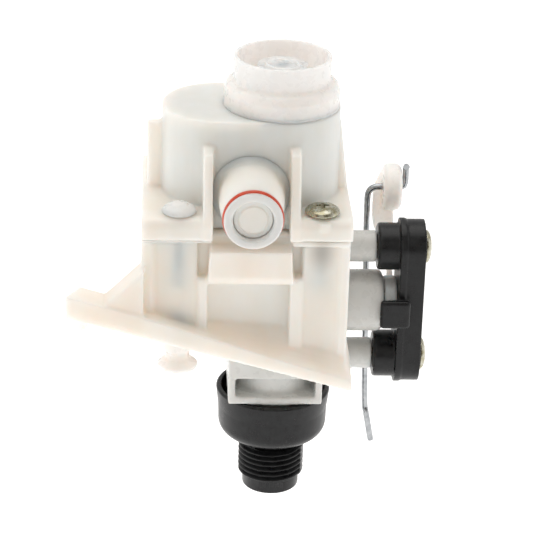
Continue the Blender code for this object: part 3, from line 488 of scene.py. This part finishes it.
def floor_material():
    surface = Surface("floor", (0.92, 0.92, 0.92), 0.9)
    surface.set("Specular IOR Level", 0.0)
    surface.set("Emission Color", (1, 1, 1, 1))
    surface.set("Emission Strength", 0.55)
    return surface.material


# ---- camera, light and floor ------------------------------------------------------


def make_camera():
    azimuth, elevation = math.radians(CAMERA_AZIMUTH), math.radians(CAMERA_ELEVATION)
    roll = math.radians(CAMERA_ROLL)
    back = Vector((
        math.sin(azimuth) * math.cos(elevation),
        -math.cos(azimuth) * math.cos(elevation),
        math.sin(elevation),
    ))
    level = Vector((math.cos(azimuth), math.sin(azimuth), 0))
    upright = back.cross(level)
    right = level * math.cos(roll) + upright * math.sin(roll)
    up = upright * math.cos(roll) - level * math.sin(roll)
    camera = bpy.data.objects.new("camera", bpy.data.cameras.new("camera"))
    camera.data.lens = CAMERA_LENS
    camera.data.sensor_width = 36
    camera.data.clip_start = 0.01
    place = SHIFT + (Vector(CAMERA_AIM) + back * CAMERA_DISTANCE) * MM
    turn = Matrix((right, up, back)).transposed().to_4x4()
    camera.matrix_world = Matrix.Translation(place) @ turn
    bpy.context.scene.collection.objects.link(camera)
    bpy.context.scene.camera = camera


def make_light(name, place, size, power, colour=(1, 1, 1)):
    """A square softbox aimed at the middle of the valve; place in millimetres."""
    data = bpy.data.lights.new(name, "AREA")
    data.size = size
    data.energy = power
    data.color = colour
    lamp = bpy.data.objects.new(name, data)
    lamp.location = SHIFT + Vector(place) * MM
    aim = SHIFT + Vector(CAMERA_AIM) * MM - lamp.location
    lamp.rotation_mode = "QUATERNION"
    lamp.rotation_quaternion = aim.to_track_quat("-Z", "Y")
    bpy.context.scene.collection.objects.link(lamp)


def make_world():
    """White to the eye; as a light it is bright behind and above, and dim and warm in front."""
    world = bpy.data.worlds.new("studio")
    world.use_nodes = True
    bpy.context.scene.world = world
    nodes, links = world.node_tree.nodes, world.node_tree.links
    output = nodes["World Output"]
    lighting = nodes["Background"]
    shown = nodes.new("ShaderNodeBackground")
    shown.inputs["Color"].default_value = (1, 1, 1, 1)
    split = nodes.new("ShaderNodeSeparateXYZ")
    links.new(nodes.new("ShaderNodeTexCoord").outputs["Generated"], split.inputs["Vector"])
    spread = nodes.new("ShaderNodeMapRange")
    spread.interpolation_type = "SMOOTHSTEP"
    spread.inputs["From Min"].default_value = -0.9
    spread.inputs["From Max"].default_value = 0.5
    links.new(split.outputs["Y"], spread.inputs["Value"])
    tint = nodes.new("ShaderNodeMix")
    tint.data_type = "RGBA"
    tint.inputs["A"].default_value = (0.25, 0.23, 0.205, 1)
    tint.inputs["B"].default_value = (0.72, 0.71, 0.70, 1)
    links.new(spread.outputs["Result"], tint.inputs["Factor"])
    links.new(tint.outputs["Result"], lighting.inputs["Color"])
    choose = nodes.new("ShaderNodeMixShader")
    links.new(nodes.new("ShaderNodeLightPath").outputs["Is Camera Ray"], choose.inputs["Fac"])
    links.new(lighting.outputs["Background"], choose.inputs[1])
    links.new(shown.outputs["Background"], choose.inputs[2])
    links.new(choose.outputs["Shader"], output.inputs["Surface"])


def make_floor():
    """A large plain sheet with a gentle rise at its far edges."""
    shape = bmesh.new()
    bmesh.ops.create_grid(shape, x_segments=24, y_segments=24, size=6000)
    for vertex in shape.verts:
        out = max(0.0, vertex.co.xy.length - 4000)
        vertex.co.z = FLOOR_Z + out * out / 60000
    floor = add_object(shape, "floor")
    floor.data.materials.append(floor_material())
    floor.data.shade_smooth()
    floor.location = SHIFT


def make_studio():
    make_camera()
    make_world()
    make_floor()
    make_light("top_softbox", (-60, 60, 760), 0.7, 2.4, (1.0, 0.98, 0.95))
    make_light("left_softbox", (-620, -60, 240), 0.5, 0.75)
    make_light("right_softbox", (620, -60, 260), 0.5, 0.55)
    make_light("front_fill", (-120, -900, 620), 0.5, 0.6, (1.0, 0.96, 0.90))
    settings = bpy.context.scene.view_settings
    settings.view_transform = "Standard"


# ---- inlet ------------------------------------------------------------------------


THREAD_RADIUS, THREAD_ROOT = 10.45, 9.3
THREAD_PITCH = 1.814
THREAD_LOW, THREAD_HIGH = 6.3, 17.6
LEAD_IN_RADIUS = 9.0
NECK_RADIUS = 8.0
BAND_HALF = math.radians(26)        # smooth parting band along the thread


def thread_radius(angle, height):
    """Radius of the helical thread, with a smooth band at each side of the mould."""
    phase = (height / THREAD_PITCH - angle / math.tau) % 1.0
    tooth = 0.5 - 0.5 * math.cos(math.tau * phase)
    radius = THREAD_ROOT + (THREAD_RADIUS - THREAD_ROOT) * tooth ** 0.8
    turn = abs((angle + math.pi) % math.tau - math.pi)
    if min(turn, math.pi - turn) < BAND_HALF and turn < math.pi / 2:
        radius = max(radius, THREAD_RADIUS - 0.12)
    low = (height - THREAD_LOW) / 1.3
    high = (THREAD_HIGH - height) / 0.9
    ease = max(0.0, min(1.0, low, high))
    return LEAD_IN_RADIUS + (radius - LEAD_IN_RADIUS) * math.sin(ease * math.pi / 2)


def make_thread(segments=144, rows_per_pitch=12):
    """The threaded nipple as one skin, lofted through rings of changing radius."""
    rows = round((THREAD_HIGH - THREAD_LOW) / THREAD_PITCH * rows_per_pitch)
    heights = [THREAD_LOW + (THREAD_HIGH - THREAD_LOW) * i / rows for i in range(rows + 1)]
    angles = [math.tau * step / segments for step in range(segments)]
    rings = []
    for height in heights:
        radii = [thread_radius(angle, height) for angle in angles]
        rings.append([(r * math.cos(a), r * math.sin(a), height) for r, a in zip(radii, angles)])
    return loft(rings)


def make_inlet_fitting(material):
    """Cup round the valve's neck, with the threaded nipple under it."""
    cup = turned(rounded([
        (17.5, 37.4, 0.4), (18.0, 36.9, 0.8), (17.3, 31.0, 6.0), (17.0, 21.4, 8.2),
        (NECK_RADIUS, 20.9, 1.4), (NECK_RADIUS, 16.8), (6.4, 16.8), (6.4, 24.2),
        (15.7, 24.2, 2.6), (16.3, 37.4, 0.4),
    ], 10))
    nipple = turned(rounded([
        (LEAD_IN_RADIUS, 17.4), (LEAD_IN_RADIUS, NIPPLE_END, 0.7), (6.4, NIPPLE_END, 0.4), (6.4, 17.4),
    ]))
    thread = make_thread()
    bore = bar(6.4, (0, 0, 1), (0, 0, 24), segments=96)
    fitting = join(cup, nipple, thread)
    rib = block((6.9, -0.6, 17.2), (8.9, 0.6, 21.6), 0.25)
    rib.matrix_basis = Matrix.Rotation(math.radians(228), 4, "Z")
    join(fitting, rib)
    cut(fitting, bore)
    finish_piece(fitting, "inlet_fitting_skin", material, "housing", "black_plastic",
                 "inlet_fitting", sharp=50)


# ---- valve body -------------------------------------------------------------------


def make_valve_body(material):
    tube = turned(rounded([
        (0.0, 100.6), (10.2, 100.6, 0.5), (10.2, 57), (10.6, 56), (10.6, 26.7, 0.4), (0.0, 26.7),
    ]))
    lug = block((-14.65, -15, 37.7), (14.65, 15, 57), 0.9)
    foot = prism([(14.6, 14.9), (-14.6, 14.9), (-14.6, -14.95), *arc((0, 14.2), 30, 258, 282),
                  (14.6, -14.95)], 2.4, plan_plane(38.95))
    round_wall = bar(12.9, (0, 0, 38.4), (0, 0, 56), segments=96)
    window = block((-12.5, -17, 39.9), (12.5, -5.5, 46.4), 0.3)
    cut(lug, window)
    barrel = turned(rounded([
        (0.0, 33.3), (9.65, 33.3, 1.8), (9.65, 0.0), (0.0, 0.0),
    ], 8), (0, 0, STEM_Z), X_AXIS)
    join(lug, foot, round_wall, tube, barrel)
    for z in (STEM_Z + POST_SPREAD, STEM_Z - POST_SPREAD):
        join(lug, bar(POST_RADIUS, (4, 0, z), (30.6, 0, z)))
    flow = turned([(0, 102), (6, 102), (6, 75.9), (7.5, 75.9), (7.5, 58.1), (6, 58.1), (6, 25), (0, 25)])
    chamber = bar(7.6, (-7.6, 0, STEM_Z), (34.3, 0, STEM_Z))
    cut(lug, flow, chamber)
    soften(lug, 0.42, 3)
    finish_piece(lug, "valve_body_skin", material, "housing", "white_plastic", "valve_body")


# ---- lever, rod and yoke ----------------------------------------------------------


def make_lever(material):
    """Hub and eye joined by a web that lies behind both and steps across to the hub."""
    hub = turned(rounded([
        (3.2, 33.6), (7.75, 33.6, 0.5), (7.75, 37.4, 0.5), (3.2, 37.4),
    ]), (0, 0, STEM_Z), X_AXIS)
    along = Vector((0, EYE_Y, EYE_Z - STEM_Z)).normalized()
    behind = Vector((0, along.z, -along.y))
    plane = Matrix.Translation(Vector((0, 0, STEM_Z)) + behind * 4.5) @ Matrix((
        (1, along.x, -behind.x, 0),
        (0, along.y, -behind.y, 0),
        (0, along.z, -behind.z, 0),
        (0, 0, 0, 1),
    ))
    web = prism(rounded([
        (35.4, 0), (37.2, 0), (37.2, 21, 6), (37.9, 28, 6), (37.9, 43.5, 2.5), (34.6, 45.0, 2.5),
        (31.6, 38.4, 5), (31.2, 30, 5), (31.5, 26.3, 4), (35.4, 16, 4),
    ]), 3.0, plane)
    eye = turned(rounded([
        (1.35, 40.1, 0.3), (7.5, 40.1, 1.9), (7.5, 34.2, 1.9), (1.35, 34.2, 0.3),
    ], 8), (0, EYE_Y, EYE_Z), X_AXIS)
    hole = bar(1.35, (30, EYE_Y, EYE_Z), (42, EYE_Y, EYE_Z), segments=32)
    lever = cut(join(hub, web, eye), hole)
    soften(lever, 0.3, 4)
    finish_piece(lever, "lever_skin", material, "lever", "natural_plastic", "lever")


ROD_ROUTE = (
    # X, Y and Z in millimetres, from the hooked top end down to the lower end
    (41.4, 22.2, 102.9), (41.4, 23.3, 102.8), (41.4, 24.0, 101.8), (41.5, 24.0, 98.9),
    (41.4, 24.0, 96.9), (41.0, 24.0, 95.8), (40.3, 24.0, 95.5), (33.4, 24.0, 95.5),
    (31.2, 24.0, 95.2), (29.9, 24.0, 93.9), (29.5, 24.0, 91.6), (29.9, 24.0, 76.0),
    (31.2, 24.0, 38.0), (31.9, 24.0, 17.6), (32.4, 23.2, 15.6), (33.2, 22.8, 11.4),
    (34.4, 22.4, 5.2),
)


def make_pull_rod(material):
    curve = bpy.data.curves.new("pull_rod", "CURVE")
    curve.dimensions = "3D"
    curve.bevel_depth = 1.0 * MM
    curve.bevel_resolution = 6
    curve.use_fill_caps = True
    spline = curve.splines.new("NURBS")
    spline.points.add(len(ROD_ROUTE) - 1)
    for point, place in zip(spline.points, ROD_ROUTE):
        point.co = (*(Vector(place) * MM), 1)
    spline.order_u = 3
    spline.use_endpoint_u = True
    spline.resolution_u = 8
    obj = bpy.data.objects.new("pull_rod", curve)
    bpy.context.scene.collection.objects.link(obj)
    finish_piece(obj, "pull_rod_wire", material, "rod", "zinc_wire", "pull_rod", sharp=50)


def make_yoke(material):
    """Stadium plate with a low step, a boss at each end and a stop tab in front."""
    plates = []
    for near, far, radius in ((37.7, 39.6, 8.95), (39.0, 45.5, 8.6)):
        outline = [(y, STEM_Z + z) for z, y in stadium(-POST_SPREAD, POST_SPREAD, radius)]
        plates.append(prism(outline, far - near, side_plane((near + far) / 2)))
    yoke = join(*plates)
    join(yoke, block((31.8, -12.5, 62.6), (41.2, -10.0, 71.9), 1.1),
         block((34.0, -11.4, 63.6), (40.2, -8.2, 70.9), 0.4))
    for z in (STEM_Z + POST_SPREAD, STEM_Z - POST_SPREAD):
        join(yoke, turned(rounded([
            (0.0, 38.5), (7.35, 38.5), (7.35, 30.9, 0.9), (0.0, 30.9),
        ]), (0, 0, z), X_AXIS))
        cut(yoke, bar(2.1, (30, 0, z), (46, 0, z)))
    cut(yoke, bar(2.9, (36, 0, STEM_Z), (41.6, 0, STEM_Z)))
    soften(yoke, 0.32, 3)
    finish_piece(yoke, "yoke_skin", material, "housing", "black_plastic", "yoke")


def make_screw(name, node, head, place, axis, turn, material):
    """A low domed head with a rim and a cross recess, on a plain shank."""
    radius, height, length = head
    dome = [
        (radius * math.cos(math.radians(a)) ** 0.9, 0.45 + (height - 0.45) * math.sin(math.radians(a)))
        for a in (90, 75, 62, 50, 38, 26, 14, 5)
    ]
    dome[0] = (0, height)
    screw = turned([
        *dome, (radius, 0.3), (radius - 0.15, 0.08), (radius - 0.4, 0), (1.8, 0),
        (1.8, 0.9 - length), (0.9, -length), (0, -length),
    ], segments=64)
    for step in range(2):
        arm = hull([
            (side * reach, edge * wide, z)
            for z, reach, wide in ((height + 0.2, radius * 0.42, 0.62), (height - 1.35, radius * 0.2, 0.4))
            for side in (-1, 1)
            for edge in (-1, 1)
        ])
        arm.matrix_basis = Matrix.Rotation(turn + step * math.pi / 2, 4, "Z")
        cut(screw, arm)
    mesh = applied(screw)
    mesh.transform(Matrix.Translation(Vector(place) * MM) @ turn_onto(axis))
    screw = bpy.data.objects.new(name + "_shape", mesh)
    bpy.context.scene.collection.objects.link(screw)
    finish_piece(screw, name, material, "housing", "zinc_screw", node, sharp=30)


def make_screws(zinc):
    for node, side, turn in (("yoke_screw_upper", 1, 0.3), ("yoke_screw_lower", -1, 0.9)):
        place = (45.5 + GAP, 0, STEM_Z + side * POST_SPREAD)
        make_screw(node + "_detailed", node, (5.15, 2.1, 26), place, X_AXIS, turn, zinc)
    for node, x, y, turn in (
        ("housing_screw_front_right", FIXING_RIGHT, FIXING_FRONT, 0.05),
        ("housing_screw_rear_right", FIXING_RIGHT, FIXING_BACK, 0.6),
        ("housing_screw_rear_left", FIXING_LEFT, FIXING_BACK, 1.1),
    ):
        make_screw(node + "_detailed", node, (5.25, 2.4, 20), (x, y, EAR_TOP + GAP), Z_AXIS, turn, zinc)


# ---- lower housing ----------------------------------------------------------------


def underside(x):
    """Height of the sloped flange's underside at x."""
    return FLANGE_LEFT_Z - (x - FLANGE_LEFT) * FLANGE_SLOPE


def make_flange():
    left, bend, right = FLANGE_LEFT, BODY_LEFT, FLANGE_RIGHT
    outline = [
        (left, underside(left)), (right, underside(right)), (right, underside(right) + 3.5),
        (bend, underside(bend) + 7.0), (left, underside(left) + 7.4),
    ]
    flange = prism(outline, BODY_BACK - FLANGE_FRONT, front_plane((BODY_BACK + FLANGE_FRONT) / 2))
    behind_rail = block((left - 2, RAIL_BACK, 50), (bend, BODY_BACK + 2, 100))
    end = prism([(-67, -19.3), (-60.2, -19.3), (-64.4, -30.3), (-67, -30.3)], 40, plan_plane(76))
    return cut(flange, behind_rail, end)


UPRIGHTS = (
    # left, right, front and upper end: corner pilasters, the flat faces of the two screw
    # columns, and the ribs beside the hood
    (-41.8, -38.2, -25.0, BODY_TOP), (-38.4, -25.0, -24.1, BODY_TOP), (-24.7, -21.9, -25.4, 85.2),
    (2.9, 6.6, -25.4, 85.2), (6.5, 17.8, -24.5, 95.6), (17.6, BODY_RIGHT, -25.0, BODY_TOP),
)


def make_hood():
    """Hood over the front wall, a little wider below, with a round lower edge."""
    lower_edge = arc((-24.6, 87), 3.4, 190, 270, 6)
    profile = [(-20, 95), (HOOD_FRONT, 95), (HOOD_FRONT, 87), *lower_edge, (-20, 83.6)]
    points = []
    for y, z in profile:
        spread = (95 - z) * 0.06
        points += [(-21.4 - spread, y, z), (3.1 + spread, y, z)]
    return hull(points)


def make_front_details(housing):
    """Everything that stands out from the front wall."""
    wall = BODY_FRONT + 1
    for left, right, front, top in UPRIGHTS:
        join(housing, block((left, front, underside(left) + 2), (right, wall, top), 0.35))
    for left, right, low in ((BODY_LEFT, -20.6, 97.0), (3.2, BODY_RIGHT, 96.0)):
        join(housing, block((left, -26.0, low), (right, wall, BODY_TOP), 0.3))
    depth = RAIL_BACK + 29.4
    gusset = prism([(-52.7, 77.8), (-41.0, 72), (-41.0, 89.3)], depth, front_plane(RAIL_BACK - depth / 2))
    join(housing, make_hood(), gusset)


def make_back_details(housing):
    """Ribs and screw columns of the back wall."""
    for x in (-40.2, -22.0, -3.0, 20.2):
        low, high = (x - 1.2, BODY_BACK - 1, underside(x) + 1), (x + 1.2, BODY_BACK + 2.2, BODY_TOP)
        join(housing, block(low, high, 0.2))
    join(housing, block((BODY_LEFT, BODY_BACK - 1, 93.8), (BODY_RIGHT, BODY_BACK + 2.4, BODY_TOP), 0.3))


def make_skirt():
    """Foot that sweeps out from the front wall to the lip, deeper to the right."""
    sections = []
    ends = (-21.9, 69.4, 67.2), (BODY_RIGHT - 0.3, 66.3, 54.6), (FLANGE_RIGHT - 0.2, 57.0, 53.9)
    for x, crest, lip in ends:
        foot = underside(x) + 1
        section = [(x, -19.3, foot), (x, -19.3, crest)]
        for step in range(9):
            out = step / 8
            y = BODY_FRONT + (FLANGE_FRONT + 0.1 - BODY_FRONT) * out
            section.append((x, y, lip + (crest - lip) * (1 - out) ** 1.5))
        sections.append([*section, (x, FLANGE_FRONT + 0.1, foot)])
    return loft(sections)


def make_lower_housing(material):
    left, right = BODY_LEFT, BODY_RIGHT
    housing = prism(
        [(left, underside(left) + 1), (right, underside(right) + 1), (right, BODY_TOP), (left, BODY_TOP)],
        BODY_BACK - BODY_FRONT, front_plane((BODY_FRONT + BODY_BACK) / 2))
    join(housing, make_flange())
    make_front_details(housing)
    make_back_details(housing)
    join(housing, make_skirt())
    wall = HOUSING_WALL
    inside = block((left + wall, BODY_FRONT + wall, 40), (right - wall, BODY_BACK - wall, BODY_TOP - wall))
    cut(housing, inside, bar(10.6, (0, 0, 90), (0, 0, 100)))
    for radius, z in ((10.0, STEM_Z), (5.25, STEM_Z + POST_SPREAD), (5.25, STEM_Z - POST_SPREAD)):
        cut(housing, bar(radius, (12, 0, z), (right + 2, 0, z)))
    for x in (FIXING_LEFT, FIXING_RIGHT):
        join(housing, bar(4.4, (x, FIXING_BACK, 78), (x, FIXING_BACK, BODY_TOP - 1)))
        for y in (FIXING_FRONT, FIXING_BACK):
            cut(housing, bar(SCREW_HOLE, (x, y, 82), (x, y, BODY_TOP + 1)))
    root = Vector((NUB_X, NUB_Y, underside(NUB_X)))
    down = Vector((-FLANGE_SLOPE, 0, -1)).normalized()
    join(housing, bar(2.1, root - down * 3, root + down * 3.2, 1.0))
    foot = underside(FIXING_LEFT)
    for radius, reach in ((5.0, 4.2), (2.4, 9.4)):
        cut(housing, bar(radius, (FIXING_LEFT, FIXING_FRONT, 50), (FIXING_LEFT, FIXING_FRONT, foot + reach)))
    cut(housing, block((right - 3.4, -5.4, 40), (right + 2, 5.4, STEM_Z - POST_SPREAD + 2)))
    soften(housing, 0.5, 3)
    finish_piece(housing, "lower_housing_skin", material, "housing", "natural_plastic", "lower_housing")


def make_mounting_stud(material):
    top = underside(FIXING_LEFT)
    stud = turned(rounded([
        (0.0, top + 7), (2.1, top + 7, 0.3), (2.1, top + 3.4), (4.2, top + 3.4, 0.3),
        (4.2, top - 4.4, 0.7), (3.5, top - 5.6, 1.0), (3.7, top - 7.2, 1.6), (6.2, top - 9.2, 0.5),
        (6.0, top - 10.3, 0.7), (3.6, top - 11.0, 1.4), (0.0, top - 11.2),
    ], 8), (FIXING_LEFT, FIXING_FRONT, 0))
    finish_piece(stud, "mounting_stud_detailed", material, "housing", "natural_plastic",
                 "mounting_stud", sharp=60)


# ---- upper housing ----------------------------------------------------------------


def make_upper_housing(material):
    chamber = prism(stadium(CHAMBER_LEFT_X, 0, CHAMBER_RADIUS), CHAMBER_TOP - EAR_BOTTOM,
                    plan_plane((CHAMBER_TOP + EAR_BOTTOM) / 2))
    bevel = chamber.modifiers.new("top_edge", "BEVEL")
    bevel.width = 1.5 * MM
    bevel.segments = 4
    bevel.limit_method = "ANGLE"
    bevel.angle_limit = math.radians(60)
    ears = prism(rounded([
        (EAR_FRONT, EAR_BOTTOM, 1.0), (EAR_BACK, EAR_BOTTOM, 1.0), (EAR_BACK, EAR_TOP, 3.0),
        (EAR_FRONT, EAR_TOP, 3.0),
    ], 6), EAR_RIGHT - BODY_LEFT, side_plane((BODY_LEFT + EAR_RIGHT) / 2))
    cut(ears, block((-20.6, EAR_FRONT - 2, EAR_BOTTOM - 1), (3.2, -17.0, EAR_TOP + 1)))
    join(ears, block((11.0, EAR_FRONT - 0.5, 101.8), (13.8, EAR_FRONT + 1.5, 104.2), 0.3))
    for x in (FIXING_LEFT, FIXING_RIGHT):
        for y in (FIXING_FRONT, FIXING_BACK):
            cut(ears, bar(SCREW_HOLE, (x, y, EAR_BOTTOM - 1), (x, y, EAR_TOP + 1)))
    join(chamber, ears)
    low = EAR_TOP - 1
    left_web = [(-40.2, low), (-33, low), (-33, 126.2), (-40.2, 126.2)]
    right_web = [(14, low), (EAR_RIGHT, low), (18.2, 126.8), (14, 126.8)]
    for outline in (left_web, right_web):
        join(chamber, prism(outline, 2.6, front_plane(0)))
    front, foot = EAR_FRONT - 0.4, EAR_BOTTOM + 0.1
    fin = [(-14.8, low), (-16, foot), (front, foot), (front, 102.6), (-21.6, 123.4), (-14.8, 125.6)]
    rear_fin = [(-y, z) for y, z in fin]
    for x, thick in ((-22.2, 2.9), (3.8, 3.0)):
        join(chamber, prism(fin, thick, side_plane(x)), prism(rear_fin, thick, side_plane(x)))
    boss = turned(rounded([
        (0.0, 18.6), (9.4, 18.6, 0.4), (9.4, 15.8), (0.0, 15.8),
    ]), (SPIGOT_X, 0, SPIGOT_Z), -Y_AXIS)
    join(chamber, boss)
    inner = CHAMBER_RADIUS - 2.2
    inside = prism(stadium(CHAMBER_LEFT_X, 0, inner), CHAMBER_INSIDE,
                   plan_plane(EAR_BOTTOM - 2 + CHAMBER_INSIDE / 2))
    vent = bar(11.0, (0, 0, CHAMBER_TOP - 5), (0, 0, CHAMBER_TOP + 1))
    outlet = bar(7.9, (SPIGOT_X, -12, SPIGOT_Z), (SPIGOT_X, -24, SPIGOT_Z))
    cut(chamber, inside, vent, outlet)
    soften(chamber, 0.5, 3)
    finish_piece(chamber, "upper_housing_skin", material, "housing", "natural_plastic", "upper_housing")


def make_rivet(material):
    rivet = turned(rounded([
        (0.0, 2.9), (2.0, 2.8, 1.2), (2.6, 2.2, 0.4), (4.4, 1.5, 2.0), (5.2, 0.3, 0.6), (5.1, 0.0),
        (1.8, 0.0), (1.8, -17.5), (1.0, -18.0), (0.0, -18.0),
    ], 8), (FIXING_LEFT, FIXING_FRONT, EAR_TOP + GAP))
    finish_piece(rivet, "housing_rivet_detailed", material, "housing", "natural_plastic",
                 "housing_rivet_front_left", sharp=40)


# ---- vent cup and outlet ----------------------------------------------------------


def make_vent_cup(material):
    cup = turned(rounded([
        (14.75, 147.4, 0.45), (14.45, 139.8, 1.6), (16.6, 139.4, 2.0), (17.45, 136.9, 2.4),
        (17.45, 133.0, 0.6), (17.7, 132.6, 0.4), (17.5, 131.2), (10.7, 131.2), (10.7, 128.5, 0.3),
        (9.0, 128.5, 0.3), (9.0, 137.6), (6.0, 137.6),
        (6.0, 139.8, 0.3), (13.3, 139.8, 0.8), (13.6, 147.4, 0.35),
    ], 8), segments=128)
    finish_piece(cup, "vent_cup_skin", material, "housing", "natural_plastic", "vent_cup", sharp=60)


def make_float_guide(material):
    """Stepped deflector disc on three legs, closed over the float's stem."""
    disc = turned(rounded([
        (0.0, 144.5), (4.0, 144.3, 0.8), (4.5, 144.8, 0.3), (5.2, 144.8, 0.3), (5.6, 144.1, 0.5),
        (7.0, 144.2, 0.4), (7.6, 144.5, 0.4), (7.6, 143.6, 0.4), (2.8, 143.4, 0.5), (2.8, 138.6, 0.3),
        (1.7, 138.6, 0.3), (1.7, 143.9), (0.0, 143.9),
    ], 6))
    for step in range(3):
        leg = block((2.0, -0.8, 140.1), (7.3, 0.8, 143.9), 0.2)
        leg.matrix_basis = Matrix.Rotation(math.tau * step / 3 + math.pi / 6, 4, "Z")
        join(disc, leg)
    finish_piece(disc, "float_guide_detailed", material, "housing", "natural_plastic",
                 "float_guide", sharp=50)


def make_outlet(plastic, red, seat):
    place = (SPIGOT_X, 0, SPIGOT_Z)
    spigot = turned(rounded([
        (8.65, 40.0, 0.9), (8.65, 38.8, 0.15), (6.9, 38.8, 0.15), (6.9, 36.4, 0.15), (8.9, 36.4, 0.5),
        (10.1, 19.6, 2.0), (11.8, 18.2, 0.2), (11.8, 17.6), (7.6, 17.6), (7.6, 15.0), (5.9, 15.0),
        (5.9, 39.1, 0.5), (6.5, 40.0, 0.3),
    ], 6), place, -Y_AXIS)
    finish_piece(spigot, "outlet_spigot_detailed", plastic, "housing", "natural_plastic",
                 "outlet_spigot", sharp=50)
    ring = turned(arc((8.12, 37.7), 0.95, 0, 345, 23), place, -Y_AXIS, 128)
    finish_piece(ring, "outlet_o_ring_detailed", red, "housing", "red_rubber", "outlet_o_ring")
    disc = turned(rounded([
        (0.0, 38.3), (4.0, 38.4, 0.5), (4.4, 38.0, 0.4), (5.7, 38.2, 0.2), (5.7, 36.3, 0.2), (0.0, 36.3),
    ]), place, -Y_AXIS)
    finish_piece(disc, "flow_disc_detailed", seat, "housing", "seat_plastic", "flow_disc", sharp=40)


# ---- pieces kept from the CAD -----------------------------------------------------


def dress_cad_nodes(materials):
    """Procedural materials for the inner pieces, whose CAD shape stays."""
    record_slots = {row["node"]: row["material_slot"] for row in frame["record"]["subparts"]}
    for name, obj in frame["nodes"].items():
        obj.data.materials.clear()
        obj.data.materials.append(materials[record_slots[name]])


def make_materials():
    return {
        "natural_plastic": natural_plastic(),
        "pale_plastic": pale_plastic(),
        "white_plastic": white_plastic(),
        "black_plastic": black_plastic(),
        "seat_plastic": translucent("seat_plastic", (0.90, 0.87, 0.83), (0.86, 0.82, 0.77), 0.35, 2.5),
        "black_rubber": rubber("black_rubber", (0.03, 0.03, 0.03), (0.018, 0.018, 0.018), 0.6),
        "red_rubber": rubber("red_rubber", (0.66, 0.075, 0.026), (0.56, 0.055, 0.018), 0.34),
        "zinc_screw": plated("zinc_screw", (0.52, 0.51, 0.43), (0.33, 0.30, 0.19), 0.24),
        "zinc_wire": plated("zinc_wire", (0.44, 0.455, 0.47), (0.29, 0.305, 0.32), 0.15, (1, 1, 0.15)),
        "stainless": plated("stainless", (0.62, 0.62, 0.62), (0.52, 0.52, 0.52), 0.28),
    }


def main():
    materials = make_materials()
    make_studio()
    dress_cad_nodes(materials)
    natural, pale = materials["natural_plastic"], materials["pale_plastic"]
    make_inlet_fitting(materials["black_plastic"])
    make_valve_body(materials["white_plastic"])
    make_lever(pale)
    make_pull_rod(materials["zinc_wire"])
    make_yoke(materials["black_plastic"])
    make_screws(materials["zinc_screw"])
    make_lower_housing(housing_plastic_painted_shade())
    make_mounting_stud(pale)
    make_upper_housing(natural)
    make_rivet(pale)
    make_vent_cup(pale)
    make_float_guide(pale)
    make_outlet(natural, materials["red_rubber"], materials["seat_plastic"])


main()

import json
